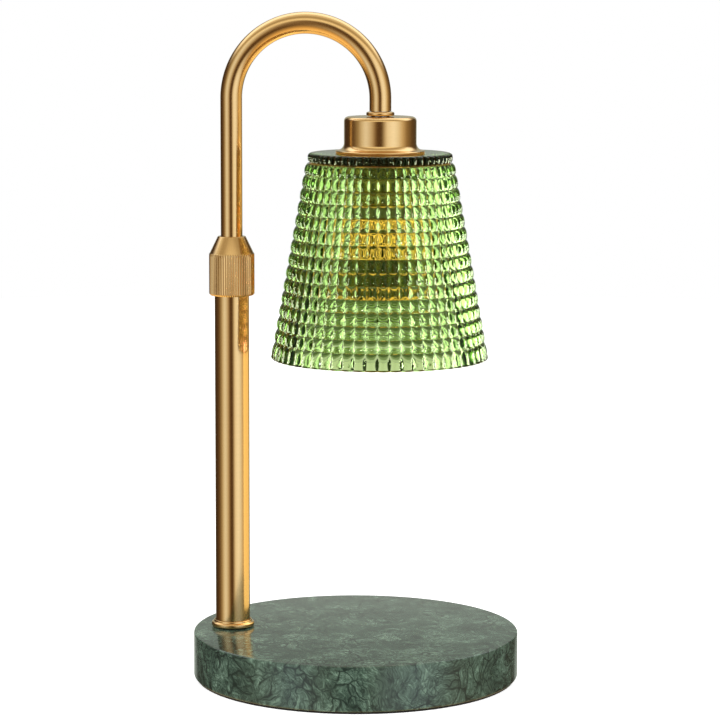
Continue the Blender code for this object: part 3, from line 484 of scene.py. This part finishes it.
def to_object(name, made):
    mesh = bpy.data.meshes.new(name)
    made.to_mesh(mesh)
    made.free()
    mesh.shade_smooth()
    mesh.set_sharp_from_angle(angle=math.radians(SHARP_DEGREES))
    piece = bpy.data.objects.new(name, mesh)
    bpy.context.scene.collection.objects.link(piece)
    return piece


def settle(piece, *nodes):
    """Gives a piece the finish and the body of the nodes that it stands for."""
    first = nodes[0]
    piece.data.materials.clear()
    piece.data.materials.append(finish_of(first))
    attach(piece, BODY_OF[first])
    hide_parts(*nodes)


def round_box(node):
    """(axis x, radius, lowest, highest) of a turned node."""
    low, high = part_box(node)
    return (low.x + high.x) / 2, (high.x - low.x) / 2, low.z, high.z


# Post, foot ring and collar

post_x, post_radius, post_low, post_high = round_box("post_tube")
post_wall = 1 * MM
settle(
    lathe(
        "post_tube_fine",
        rounded(
            [
                (post_radius, post_high, 0),
                (post_radius, post_low, 0),
                (post_radius - post_wall, post_low, 0),
                (post_radius - post_wall, post_high, 0),
            ]
        ),
        post_x,
        ROUND_STEPS,
    ),
    "post_tube",
)

_, foot_radius, foot_low, foot_high = round_box("post_foot_ring")
bore = post_radius + CLEARANCE
third = (foot_high - foot_low) / 3
settle(
    lathe(
        "post_foot_ring_fine",
        rounded(
            [
                (bore, foot_high, 0),
                (bore + 0.5 * MM, foot_high, 0.25 * MM),
                (bore + 0.55 * MM, foot_low + 2.2 * third, 0.3 * MM),
                (foot_radius, foot_low + 1.95 * third, 0.9 * MM),
                (foot_radius, foot_low + 0.25 * third, 0.8 * MM),
                (foot_radius - 0.8 * MM, foot_low, 0.2 * MM),
                (bore, foot_low, 0),
            ],
            6,
        ),
        post_x,
        ROUND_STEPS,
    ),
    "post_foot_ring",
)

_, collar_radius, collar_low, collar_high = round_box("lock_collar")
RIBS = 60
STEPS_PER_RIB = 10
RIB_DEPTH = 0.34 * MM
RIB_POWER = 1.4  # above 1, the grooves are narrower than the ribs
RIB_FADE = 0.7 * MM  # over which the ribs run out at both ends
RIB_SKIN = 1.2 * MM  # only points this close to the collar's outside are pressed
KNURL_HEIGHT = 19.5 * MM
CONE_BORE_DEPTH = 10 * MM
NOSE_LAND = 2.6 * MM
shoulder = collar_low + KNURL_HEIGHT
nose = 6.4 * MM
nose_bore = 5.3 * MM


def knurl(r, z, angle):
    inside = min((z - collar_low) / RIB_FADE, (shoulder - z) / RIB_FADE)
    if r < collar_radius - RIB_SKIN or inside <= 0:
        return r
    depth = RIB_DEPTH * (0.5 - 0.5 * math.cos(RIBS * angle)) ** RIB_POWER
    return r - depth * min(1.0, inside)


settle(
    lathe(
        "lock_collar_fine",
        rounded(
            [
                (nose_bore, collar_high, 0),
                (nose, collar_high, 0.3 * MM),
                (collar_radius - 0.35 * MM, shoulder + 0.05 * MM, 0.1 * MM),
                (collar_radius - 0.05 * MM, shoulder - 0.35 * MM, 0.1 * MM),
                (collar_radius, shoulder - 1.6 * MM, 0),
                (collar_radius, collar_low + 1.6 * MM, 0),
                (collar_radius - 0.05 * MM, collar_low + 0.75 * MM, 0.2 * MM),
                (collar_radius - 0.75 * MM, collar_low, 0.2 * MM),
                (bore, collar_low, 0),
                (bore, collar_high - CONE_BORE_DEPTH, 0),
                (nose_bore, collar_high - NOSE_LAND, 0),
            ]
        ),
        post_x,
        RIBS * STEPS_PER_RIB,
        knurl,
    ),
    "lock_collar",
)


# Arm: one bent tube

arm_low, arm_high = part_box("arm_tube")
arm_radius = (arm_high.y - arm_low.y) / 2
head_x, cup_radius, cup_low, cup_high = round_box("socket_cup")
arch_radius = (head_x - post_x) / 2
spring = arm_high.z - arm_radius - arch_radius  # level where the arch starts
arm_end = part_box("end_ring")[1].z + CLEARANCE
ARM_WALL = 0.7 * MM
STRAIGHT_STEPS = 12
ARCH_STEPS = 96


def arm_path():
    """Centreline points with their direction, from the foot in the post to the head."""
    steps = []
    for k in range(STRAIGHT_STEPS):
        level = arm_low.z + (spring - arm_low.z) * k / STRAIGHT_STEPS
        steps.append((Vector((post_x, 0, level)), Vector((0, 0, 1))))
    middle = (post_x + head_x) / 2
    for k in range(ARCH_STEPS + 1):
        a = math.pi * (1 - k / ARCH_STEPS)
        place = Vector((middle + arch_radius * math.cos(a), 0, spring + arch_radius * math.sin(a)))
        steps.append((place, Vector((math.sin(a), 0, -math.cos(a)))))
    steps.append((Vector((head_x, 0, arm_end)), Vector((0, 0, -1))))
    return steps


def tube(name, path, radius, inner, sides=64):
    """A bent tube along (place, direction) points in the lamp's own plane, open through its bore."""
    made = bmesh.new()
    uv = made.loops.layers.uv.new("turned")
    ways = [(place, way, radius) for place, way in path] + [(place, way, inner) for place, way in reversed(path)]
    rings = []
    lengths = [0.0]
    turns = [2 * math.pi * k / sides for k in range(sides)]
    across = Vector((0, 1, 0))
    for i, (place, way, reach) in enumerate(ways):
        out = across.cross(way)
        rings.append(
            [made.verts.new(place + across * reach * math.sin(a) + out * reach * math.cos(a)) for a in turns]
        )
        if i:
            lengths.append(lengths[-1] + (place - ways[i - 1][0]).length)
    lengths.append(lengths[-1])
    for i in range(len(rings)):
        a, b = rings[i], rings[(i + 1) % len(rings)]
        for k in range(sides):
            n = (k + 1) % sides
            face = made.faces.new([a[k], b[k], b[n], a[n]])
            for loop, (turn, row) in zip(face.loops, ((k, i), (k, i + 1), (k + 1, i + 1), (k + 1, i))):
                loop[uv].uv = (2 * math.pi * radius * turn / sides, lengths[row])
    bmesh.ops.recalc_face_normals(made, faces=made.faces)
    return to_object(name, made)


settle(tube("arm_tube_fine", arm_path(), arm_radius, arm_radius - ARM_WALL), "arm_tube")


# End ring, cup and sleeve, which the hollow nipple passes through

HEAD_BORE = 4.3 * MM
_, ring_radius, ring_low, ring_high = round_box("end_ring")
settle(
    lathe(
        "end_ring_fine",
        rounded(
            [
                (HEAD_BORE, ring_high, 0),
                (ring_radius - 0.95 * MM, ring_high, 0.2 * MM),
                (ring_radius - 0.2 * MM, ring_high - 0.25 * MM, 0.4 * MM),
                (ring_radius, (ring_low + ring_high) / 2, 0.9 * MM),
                (ring_radius - 0.2 * MM, ring_low + 0.25 * MM, 0.4 * MM),
                (ring_radius - 0.95 * MM, ring_low, 0.2 * MM),
                (HEAD_BORE, ring_low, 0),
            ],
            6,
        ),
        head_x,
        SMALL_STEPS,
    ),
    "end_ring",
)

cup_wall = 1 * MM
cup_side = 16.6 * MM
cup_corner = 2 * MM
flare = 3.3 * MM
roll = 0.55 * MM
cup_foot = cup_low - 0.25 * MM


def arc(cr, cz, radius, start, end, steps):
    """Points (radius, level) of an arc between two angles in degrees, measured from outwards."""
    turns = [math.radians(start + (end - start) * k / steps) for k in range(steps + 1)]
    return [(cr + radius * math.cos(a), cz + radius * math.sin(a)) for a in turns]


cup_outside = (
    [(HEAD_BORE, cup_high)]
    + arc(cup_side - cup_corner, cup_high - cup_corner, cup_corner, 90, 0, 10)
    + arc(cup_side + flare, cup_foot + 2 * roll + flare, flare, 180, 262, 12)
    + arc(cup_radius - roll, cup_foot + roll, roll, 80, -90, 10)
)
cup_inside = (
    arc(cup_side + flare, cup_foot + flare, cup_wall + flare - 0.8 * MM, 262, 180, 8)
    + arc(cup_side - cup_corner, cup_high - cup_corner, cup_corner - cup_wall, 0, 90, 5)
    + [(HEAD_BORE, cup_high - cup_wall)]
)
settle(lathe("socket_cup_fine", cup_outside + cup_inside, head_x, CUP_STEPS), "socket_cup")

_, sleeve_radius, sleeve_low, sleeve_high = round_box("holder_sleeve")
sleeve_side = sleeve_radius - 0.5 * MM  # its beads stand out from this
sleeve_inside = sleeve_radius - 1 * MM
settle(
    lathe(
        "holder_sleeve_fine",
        rounded(
            [
                (HEAD_BORE, sleeve_high, 0),
                (sleeve_side, sleeve_high, 0.8 * MM),
                (sleeve_side, sleeve_low + 5.9 * MM, 0),
                (sleeve_radius, sleeve_low + 5.4 * MM, 0.3 * MM),
                (sleeve_side, sleeve_low + 4.9 * MM, 0),
                (sleeve_side, sleeve_low + 1.4 * MM, 0),
                (sleeve_radius, sleeve_low + 1.0 * MM, 0.4 * MM),
                (sleeve_radius, sleeve_low, 0.4 * MM),
                (sleeve_inside, sleeve_low, 0.4 * MM),
                (sleeve_inside, sleeve_high - 1 * MM, 0.5 * MM),
                (HEAD_BORE, sleeve_high - 1 * MM, 0),
            ]
        ),
        head_x,
        ROUND_STEPS,
    ),
    "holder_sleeve",
)


# Glass shade: a tapered cup pressed with rows of pillows, under a beaded lip and a groove

_, _, shade_low, shade_high = round_box("glass_shade")
COLUMNS = 56
ROWS = 15
LIP_RADIUS = 33.2 * MM
LIP_HEIGHT = 4.3 * MM
LIP_EDGE = 1 * MM
LIP_SIDE = LIP_HEIGHT - 1.3 * MM
LIP_SKIN = 1.2 * MM  # only points this close to the lip's outside are pressed
LIP_ALONG = 0.93  # how far up and down its curve a bead of the lip goes
GROOVE = 0.5 * MM
NECK_RADIUS = 33.3 * MM
MOUTH_RADIUS = 50.3 * MM
PILLOW_DEPTH = 1.2 * MM
GLASS_WALL = 3.6 * MM
TOP_THICKNESS = 4.2 * MM
HOLE_RADIUS = 15.2 * MM
HOLE_LAND = 6 * MM  # flat ring round the hole
NECK_ROUND = 3 * MM
MOUTH_SETBACK = 0.3 * MM  # of the rim, over the solid's
MOUTH_ROUND = 1 * MM
RIM_REACH = 1.3 * MM
RIM_RISE = 0.9 * MM
ACROSS_STEPS = 10
ROW_STEPS = 8
LAST_ROW_STEPS = 10
PHASE = 0.25  # turn of the columns, as a share of one
FIRST_ROW_SHARE = 0.86  # height of the first row, where a usual one is 1
RIM_SHARE = 0.32  # what the last row has over a usual one
RIM_ALONG = -0.45  # how far down its curve a pillow of the last row goes, where -1 is its lower end


def cone_radius(z):
    share = (shade_high - z) / (shade_high - shade_low)
    return NECK_RADIUS + (MOUTH_RADIUS - NECK_RADIUS) * share


first_row = shade_high - LIP_HEIGHT - GROOVE
mouth_low = shade_low + MOUTH_SETBACK
row_pitch = (first_row - mouth_low) / (FIRST_ROW_SHARE + ROWS - 1 + RIM_SHARE)
valleys = [first_row] + [first_row - (FIRST_ROW_SHARE + k) * row_pitch for k in range(ROWS - 1)] + [mouth_low]


def cushion(across, along):
    """Height of a pillow over its valleys, for places from -1 to 1 across and along its cell."""
    return (1 - abs(across) ** 2.3) ** 1.05 * (1 - abs(along) ** 2.2) ** 0.6


def pressed(r, z, angle):
    """The radius with the pillows in it. The glass's inside stays plain."""
    if r < cone_radius(z) - 1.5 * PILLOW_DEPTH and z < first_row:
        return r
    across = 2 * ((angle / (2 * math.pi) * COLUMNS + PHASE) % 1.0) - 1
    if z >= first_row:
        if r < LIP_RADIUS - LIP_SKIN:
            return r
        middle = shade_high - LIP_HEIGHT / 2
        along = max(-1.0, min(1.0, (z - middle) / (LIP_HEIGHT / 2)))
        return r - PILLOW_DEPTH * (1 - cushion(across, along * LIP_ALONG))
    for upper, lower in zip(valleys, valleys[1:]):
        if lower <= z <= upper:
            along = 2 * (z - lower) / (upper - lower) - 1
            if lower == mouth_low:
                along = max(along, RIM_ALONG)
            return r - PILLOW_DEPTH * (1 - cushion(across, along))
    return r


def shade_profile():
    """From the hole over the lip, down the outside, round the rim, up the inside and under the top."""
    lip_low = shade_high - LIP_HEIGHT
    line = [(HOLE_RADIUS, shade_high), (HOLE_RADIUS + HOLE_LAND, shade_high), (LIP_RADIUS - 2 * LIP_EDGE, shade_high)]
    for k in range(7):
        a = math.pi / 2 * (1 - k / 6)
        reach = LIP_RADIUS - LIP_EDGE + LIP_EDGE * math.cos(a)
        line.append((reach, shade_high - LIP_EDGE + LIP_EDGE * math.sin(a)))
    for k in range(1, 7):
        line.append((LIP_RADIUS, shade_high - LIP_EDGE - LIP_SIDE * k / 6))
    line.append((LIP_RADIUS - 0.25 * MM, lip_low + 0.05 * MM))
    line.append((LIP_RADIUS - 1.1 * MM, lip_low - 0.25 * MM))
    for upper, lower in zip(valleys, valleys[1:-1]):
        for k in range(ROW_STEPS):
            z = upper + (lower - upper) * eased(k, ROW_STEPS)
            line.append((cone_radius(z), z))
    for k in range(LAST_ROW_STEPS):
        z = valleys[-2] + (mouth_low + RIM_RISE - valleys[-2]) * eased(k, LAST_ROW_STEPS)
        line.append((cone_radius(z), z))
    rim = mouth_low
    for k in range(1, 6):
        a = math.pi / 2 * k / 5
        line.append((MOUTH_RADIUS - RIM_REACH * (1 - math.cos(a)), rim + RIM_RISE * (1 - math.sin(a))))
    inner_mouth = MOUTH_RADIUS - GLASS_WALL
    line.append((inner_mouth + MOUTH_ROUND, rim))
    line.append((inner_mouth + 0.3 * MM, rim + 0.3 * MM))
    line.append((inner_mouth - 0.05 * MM, rim + MOUTH_ROUND))
    underside = shade_high - TOP_THICKNESS
    for k in range(1, 9):
        z = rim + MOUTH_ROUND + (underside - NECK_ROUND - rim - MOUTH_ROUND) * k / 8
        line.append((cone_radius(z) - GLASS_WALL, z))
    inner_neck = cone_radius(underside) - GLASS_WALL
    for k in range(1, 6):
        a = math.pi / 2 * k / 5
        line.append((inner_neck - NECK_ROUND * (1 - math.cos(a)), underside - NECK_ROUND + NECK_ROUND * math.sin(a)))
    line.append((HOLE_RADIUS + HOLE_LAND, underside))
    line.append((HOLE_RADIUS, underside))
    return line


column_angles = [
    2 * math.pi * (column + eased(k, ACROSS_STEPS) - PHASE) / COLUMNS
    for column in range(COLUMNS)
    for k in range(ACROSS_STEPS)
]
settle(
    lathe("glass_shade_fine", shade_profile(), head_x, len(column_angles), pressed, column_angles),
    "glass_shade",
)


# Bulb

_, bulb_radius, bulb_low, bulb_high = round_box("bulb_reflector")
_, cap_radius, cap_low, cap_high = round_box("bulb_cap")
FACETS = 26
STEPS_PER_FACET = 6
FACET_RISE = 0.35 * MM
BOWL_STEPS = 20
BOWL_WALL = 1.2 * MM
BOWL_HEIGHT = bulb_high - bulb_low - 3.4 * MM
BOWL_SWELL = 0.85  # the lower, the faster the bowl widens
NECK_OPENING = 5.4 * MM
LENS_RINGS = 24
LENS_RING_DEPTH = 0.12 * MM
CAP_GROOVE = 0.7 * MM


def bowl(share, inset=0.0):
    """Point (radius, level) of the bowl, or inset from it, for shares from its neck (0) to its rim (1)."""
    swell = math.sin(share * math.pi / 2) ** BOWL_SWELL
    reach = cap_radius + (bulb_radius - 0.6 * MM - cap_radius) * swell
    return (reach - inset, bulb_high - inset * (1 - share) - share * BOWL_HEIGHT)


def bowl_facets(r, z, angle):
    """The radius with the facets on the bowl's inside, away from its neck and its rim."""
    share = max(0.0, min(1.0, (bulb_high - z) / BOWL_HEIGHT))
    inside = r < bowl(share)[0] - 0.4 * MM
    if not inside or z < bulb_low + 4 * MM or r < 6 * MM:
        return r
    across = 2 * ((angle / (2 * math.pi) * FACETS) % 1.0) - 1
    return r + FACET_RISE * (1 - across * across)


bowl_out = [bowl(k / BOWL_STEPS) for k in range(BOWL_STEPS + 1)]
bowl_in = [bowl(k / BOWL_STEPS, BOWL_WALL) for k in range(BOWL_STEPS, -1, -1)]
rim_in = bulb_radius - BOWL_WALL
bulb_profile = (
    bowl_out
    + rounded(
        [
            (bulb_radius - 0.7 * MM, bulb_low + 3.3 * MM, 0),
            (bulb_radius, bulb_low + 2.9 * MM, 0.3 * MM),
            (bulb_radius, bulb_low, 0.5 * MM),
            (rim_in, bulb_low, 0.2 * MM),
            (rim_in, bulb_low + 2.8 * MM, 0),
        ]
    )
    + bowl_in
    + [(NECK_OPENING, bulb_high - BOWL_WALL), (NECK_OPENING, bulb_high)]
)
settle(lathe("bulb_reflector_fine", bulb_profile, head_x, FACETS * STEPS_PER_FACET, bowl_facets), "bulb_reflector")

_, lens_radius, lens_low, lens_high = round_box("bulb_lens")
lens_line = [(0.0, lens_high)]
for k in range(1, LENS_RINGS):
    lens_line.append((lens_radius * k / LENS_RINGS, lens_high - LENS_RING_DEPTH * (k % 2)))
lens_line += [(lens_radius, lens_high), (lens_radius, lens_low), (0.0, lens_low)]
settle(lathe("bulb_lens_fine", lens_line, head_x, SMALL_STEPS), "bulb_lens")

settle(
    lathe(
        "bulb_cap_fine",
        rounded(
            [
                (0.0, cap_high, 0),
                (cap_radius, cap_high, 1.2 * MM),
                (cap_radius, cap_low + 4.2 * MM, 0.4 * MM),
                (cap_radius - CAP_GROOVE, cap_low + 3.6 * MM, 0.3 * MM),
                (cap_radius - CAP_GROOVE, cap_low + 2.2 * MM, 0.3 * MM),
                (cap_radius, cap_low + 1.6 * MM, 0.4 * MM),
                (cap_radius, cap_low, 0.4 * MM),
                (0.0, cap_low, 0),
            ]
        ),
        head_x,
        SMALL_STEPS,
    ),
    "bulb_cap",
)


# Stone base, with the cord gland's slot in its edge

STONE_EDGE = 0.8 * MM
SLOT_SIDES = 48
SLOT_LENGTH = 30 * MM
base_x, base_radius, base_low, base_high = round_box("marble_base")
stone_line = [(0.0, base_high, 0), (base_radius, base_high, STONE_EDGE), (base_radius, base_low, STONE_EDGE)]
stone = lathe("marble_base_fine", rounded(stone_line + [(0.0, base_low, 0)], 6), base_x, BASE_STEPS)

gland_low, gland_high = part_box("cord_gland")
gland_radius = (gland_high.z - gland_low.z) / 2 + CLEARANCE
gland_level = (gland_high.z + gland_low.z) / 2
slot = bmesh.new()
bmesh.ops.create_cone(
    slot,
    cap_ends=True,
    segments=SLOT_SIDES,
    radius1=gland_radius,
    radius2=gland_radius,
    depth=SLOT_LENGTH,
    matrix=Matrix.Translation((-base_radius, 0, gland_level)) @ Matrix.Rotation(math.pi / 2, 4, "Y"),
)
cutter = to_object("gland_slot_cutter", slot)
cut = stone.modifiers.new("gland_slot", "BOOLEAN")
cut.operation = "DIFFERENCE"
cut.object = cutter
bpy.context.view_layer.update()
graph = bpy.context.evaluated_depsgraph_get()
cut_mesh = bpy.data.meshes.new_from_object(stone.evaluated_get(graph))
stone.modifiers.clear()
stone.data = cut_mesh
bpy.data.objects.remove(cutter)
settle(stone, "marble_base")


# Every other node keeps its solid and gets its finish

for node, piece in NODES.items():
    if piece.hide_render:
        continue
    piece.data.materials.clear()
    piece.data.materials.append(finish_of(node))
    piece.data.shade_smooth()
    piece.data.set_sharp_from_angle(angle=math.radians(SHARP_DEGREES))


# Floor: white to the camera, and a painted shade near the lamp, dark green, where it is seen through the glass

FLOOR_RADIUS = 1.6
FLOOR_SIDES = 96
FLOOR_TONE = (0.9, 0.9, 0.9)
FLOOR_GLOW = 0.62
# Painted shade seen through the glass, by distance from the middle, as a share of the radius
PAINTED_SHADE_FLOOR = [
    (0.34, (0.13, 0.17, 0.08)),
    (0.38, (0.30, 0.37, 0.21)),
    (0.52, (0.38, 0.44, 0.27)),
    (0.62, (0.95, 0.97, 0.86)),
]
floor_mesh = bpy.data.meshes.new("floor")
floor_made = bmesh.new()
bmesh.ops.create_circle(floor_made, cap_ends=True, segments=FLOOR_SIDES, radius=FLOOR_RADIUS)
floor_made.to_mesh(floor_mesh)
floor_made.free()
floor = bpy.data.objects.new("floor", floor_mesh)
bpy.context.scene.collection.objects.link(floor)
floor_material, tree, shader = new_material("floor_white")
shader.inputs["Roughness"].default_value = 0.9
shader.inputs["Specular IOR Level"].default_value = 0.0
path = add(tree, "ShaderNodeLightPath")
from_middle = add(tree, "ShaderNodeVectorMath", operation="LENGTH")
wire(tree, place_on(tree), from_middle.inputs[0])
painted_shade_tone = ramp(tree, maths(tree, "DIVIDE", from_middle.outputs["Value"], FLOOR_RADIUS), PAINTED_SHADE_FLOOR)
floor_tone = mix(tree, path.outputs["Is Transmission Ray"], FLOOR_TONE, painted_shade_tone)
wire(tree, floor_tone, shader.inputs["Base Color"])
shown = maths(tree, "MULTIPLY", path.outputs["Is Camera Ray"], FLOOR_GLOW)
shader.inputs["Emission Color"].default_value = (1.0, 1.0, 1.0, 1.0)
wire(tree, shown, shader.inputs["Emission Strength"])
floor_mesh.materials.append(floor_material)
floor.visible_glossy = False


# World: white to the camera, a grey light on everything, and two painted rooms, one for what the polished pieces
# mirror and one for what the glass bends. Angles are in degrees, with 0 towards the camera.

WHITE = (1.0, 1.0, 1.0)
STUDIO_GREY = (0.62, 0.62, 0.62)
UNDER_GLASS = (0.50, 0.56, 0.46)

world = bpy.data.worlds.new("studio")
bpy.context.scene.world = world
world.use_nodes = True
tree = world.node_tree
sky = tree.nodes["Background"]
facing = Vector((math.sin(TURN), -math.cos(TURN), 0))
right = Vector((math.cos(TURN), math.sin(TURN), 0))
up = Vector((0, 0, 1))
direction = add(tree, "ShaderNodeTexCoord").outputs["Generated"]


def along(axis):
    node = add(tree, "ShaderNodeVectorMath", operation="DOT_PRODUCT")
    wire(tree, direction, node.inputs[0])
    node.inputs[1].default_value = axis
    return node.outputs["Value"]


def strips(across, stops):
    """The stops' colours by the angle from facing towards across."""
    angle = maths(tree, "ARCTAN2", across, along(facing))
    share = maths(tree, "ADD", maths(tree, "DIVIDE", angle, 2 * math.pi), 0.5)
    return ramp(tree, share, [((degrees + 180) / 360, colour) for degrees, colour in stops])


# Round the horizon, as the metal and the stone show it: the backdrop behind, dark flags beside it, two soft boxes
# and the dark behind the camera
ROOM_STRIPS = [
    (-180, (0.43, 0.46, 0.40)),
    (-161, (0.43, 0.46, 0.40)),
    (-153, (0.06, 0.04, 0.03)),
    (-118, (0.07, 0.04, 0.02)),
    (-92, (0.16, 0.10, 0.05)),
    (-74, (0.42, 0.34, 0.21)),
    (-60, (0.80, 0.77, 0.68)),
    (-47, (0.98, 1.02, 1.08)),
    (-36, (0.84, 0.83, 0.80)),
    (-25, (0.62, 0.53, 0.40)),
    (-15, (0.24, 0.15, 0.07)),
    (-9, (0.10, 0.052, 0.02)),
    (5, (0.10, 0.052, 0.02)),
    (12, (0.52, 0.44, 0.31)),
    (22, (1.04, 1.02, 0.98)),
    (42, (1.18, 1.24, 1.32)),
    (58, (1.00, 1.00, 0.96)),
    (74, (0.74, 0.62, 0.42)),
    (92, (0.34, 0.24, 0.12)),
    (118, (0.14, 0.09, 0.045)),
    (153, (0.07, 0.05, 0.03)),
    (161, (0.43, 0.46, 0.40)),
    (180, (0.43, 0.46, 0.40)),
]
# The same round, as the glass bends it: bright and dark strips by turns, which draw the edges of its pillows
GLASS_STRIPS = [
    (-180, (1.10, 1.10, 1.00)),
    (-166, (1.10, 1.10, 1.00)),
    (-163, (0.03, 0.05, 0.02)),
    (-153, (0.03, 0.05, 0.02)),
    (-150, (6.60, 6.10, 10.50)),
    (-122, (6.60, 6.10, 10.50)),
    (-119, (0.03, 0.06, 0.02)),
    (-112, (0.03, 0.06, 0.02)),
    (-109, (3.90, 3.70, 4.80)),
    (-93, (3.90, 3.70, 4.80)),
    (-90, (0.02, 0.04, 0.01)),
    (-76, (0.02, 0.04, 0.01)),
    (-70, (1.15, 1.25, 0.70)),
    (-52, (0.95, 1.05, 0.55)),
    (-44, (0.10, 0.13, 0.06)),
    (-6, (0.14, 0.15, 0.06)),
    (10, (0.14, 0.15, 0.06)),
    (44, (0.10, 0.13, 0.06)),
    (52, (0.95, 1.05, 0.55)),
    (70, (1.15, 1.25, 0.70)),
    (76, (0.02, 0.04, 0.01)),
    (90, (0.02, 0.04, 0.01)),
    (93, (6.90, 6.20, 9.80)),
    (110, (6.90, 6.20, 9.80)),
    (113, (0.03, 0.06, 0.02)),
    (118, (0.03, 0.06, 0.02)),
    (121, (9.60, 8.70, 15.60)),
    (149, (9.60, 8.70, 15.60)),
    (152, (0.03, 0.05, 0.02)),
    (161, (0.03, 0.05, 0.02)),
    (164, (1.10, 1.10, 1.00)),
    (180, (1.10, 1.10, 1.00)),
]
# Over and under, as the metal and the stone show it: from behind (-180) under the lamp (-90) to the front (0), and
# over the top (90) to behind again
OVER_STRIPS = [
    (-180, (0.30, 0.20, 0.10)),
    (-150, (0.90, 0.60, 0.25)),
    (-90, (1.45, 1.06, 0.48)),
    (-62, (1.10, 0.72, 0.29)),
    (-36, (0.46, 0.30, 0.13)),
    (0, (0.25, 0.17, 0.09)),
    (18, (0.58, 0.48, 0.32)),
    (32, (1.22, 1.12, 0.88)),
    (44, (1.10, 1.00, 0.78)),
    (55, (0.50, 0.41, 0.27)),
    (70, (0.50, 0.41, 0.27)),
    (84, (0.84, 0.76, 0.60)),
    (98, (0.92, 0.87, 0.74)),
    (108, (1.62, 1.62, 1.66)),
    (138, (1.62, 1.62, 1.66)),
    (149, (0.50, 0.40, 0.25)),
    (160, (0.12, 0.07, 0.03)),
    (180, (0.12, 0.07, 0.03)),
]

height = along(up)
off_level = span(tree, maths(tree, "ABSOLUTE", height), 0.27, 0.62, 0, 1, True)
room = mix(tree, off_level, strips(along(right), ROOM_STRIPS), strips(height, OVER_STRIPS))
under = span(tree, height, -0.36, -0.22, 1, 0, True)
through = mix(tree, under, strips(along(right), GLASS_STRIPS), UNDER_GLASS)
rays = add(tree, "ShaderNodeLightPath")
studio = mix(tree, rays.outputs["Is Glossy Ray"], STUDIO_GREY, room)
studio = mix(tree, rays.outputs["Is Transmission Ray"], studio, through)
wire(tree, mix(tree, rays.outputs["Is Camera Ray"], studio, WHITE), sky.inputs["Color"])
sky.inputs["Strength"].default_value = 1.0


# Lamps, in metres and watts

LAMP_AIM = Vector((0, 0, 0.12))
WARM = (1.0, 0.79, 0.39)
PALE = (1.0, 1.0, 0.84)


def area_lamp(name, place, way, width, tall, power):
    data = bpy.data.lights.new(name, "AREA")
    data.shape = "RECTANGLE"
    data.size = width
    data.size_y = tall
    data.energy = power
    lamp = bpy.data.objects.new(name, data)
    bpy.context.scene.collection.objects.link(lamp)
    lamp.location = place
    lamp.rotation_mode = "QUATERNION"
    lamp.rotation_quaternion = way.to_track_quat("-Z", "Y")
    lamp.visible_transmission = False
    return lamp


def heading(degrees):
    """Level direction at an angle from the camera's side, positive to the right."""
    a = math.radians(degrees)
    return facing * math.cos(a) + right * math.sin(a)


def soft_box(name, degrees, distance, level, width, tall, power):
    """A soft box that lights everything, and that nothing mirrors."""
    place = heading(degrees) * distance + Vector((0, 0, level))
    area_lamp(name, place, LAMP_AIM - place, width, tall, power).visible_glossy = False


def lamp_for(name, pieces, centre, degrees, rise, distance, width, tall, strength, colour):
    """A lamp that only the named pieces mirror. Its strength is its own brightness, where 1 is white."""
    e = math.radians(rise)
    way = heading(degrees) * math.cos(e) + Vector((0, 0, math.sin(e)))
    lamp = area_lamp(name, centre + way * distance, -way, width, tall, strength * math.pi * width * tall)
    lamp.data.color = colour
    lamp.visible_diffuse = False
    shown_on = bpy.data.collections.new(name + "_pieces")
    for piece in pieces:
        shown_on.objects.link(bpy.data.objects[piece])
    lamp.light_linking.receiver_collection = shown_on


# Warm light on the side where the candle would stand
post_middle = Vector((post_x, 0, (post_high + base_high) / 2))
arm_middle = Vector((post_x, 0, (collar_high + spring) / 2))
lamp_for(
    "warm_post", ("post_tube_fine", "post_foot_ring_fine"), post_middle, degrees=106, rise=0, distance=45 * MM,
    width=50 * MM, tall=post_high - base_high, strength=1.05, colour=WARM,
)
lamp_for(
    "warm_arm", ("arm_tube_fine",), arm_middle, degrees=108, rise=0, distance=40 * MM,
    width=40 * MM, tall=spring - collar_high, strength=0.62, colour=WARM,
)
# Sparkle on the pressed glass, from lower than its flat top, which would be one white mirror otherwise
shade_middle = Vector((head_x, 0, (shade_low + shade_high) / 2))
for name, degrees, rise, distance, width, tall, strength in (
    ("sparkle_front", 0, -6, 1.1, 0.17, 0.16, 60),
    ("sparkle_left", -100, -10, 0.4, 0.34, 0.26, 10),
    ("sparkle_right", 100, -10, 0.4, 0.34, 0.26, 14),
):
    lamp_for(name, ("glass_shade_fine",), shade_middle, degrees, rise, distance, width, tall, strength, PALE)
soft_box("box_left", degrees=-48, distance=1.5, level=1.0, width=0.9, tall=1.2, power=13)
soft_box("box_right", degrees=45, distance=1.5, level=1.0, width=0.9, tall=1.2, power=11)
soft_box("box_top", degrees=170, distance=0.9, level=1.5, width=1.2, tall=1.0, power=6)

bpy.context.scene.view_settings.view_transform = "Standard"
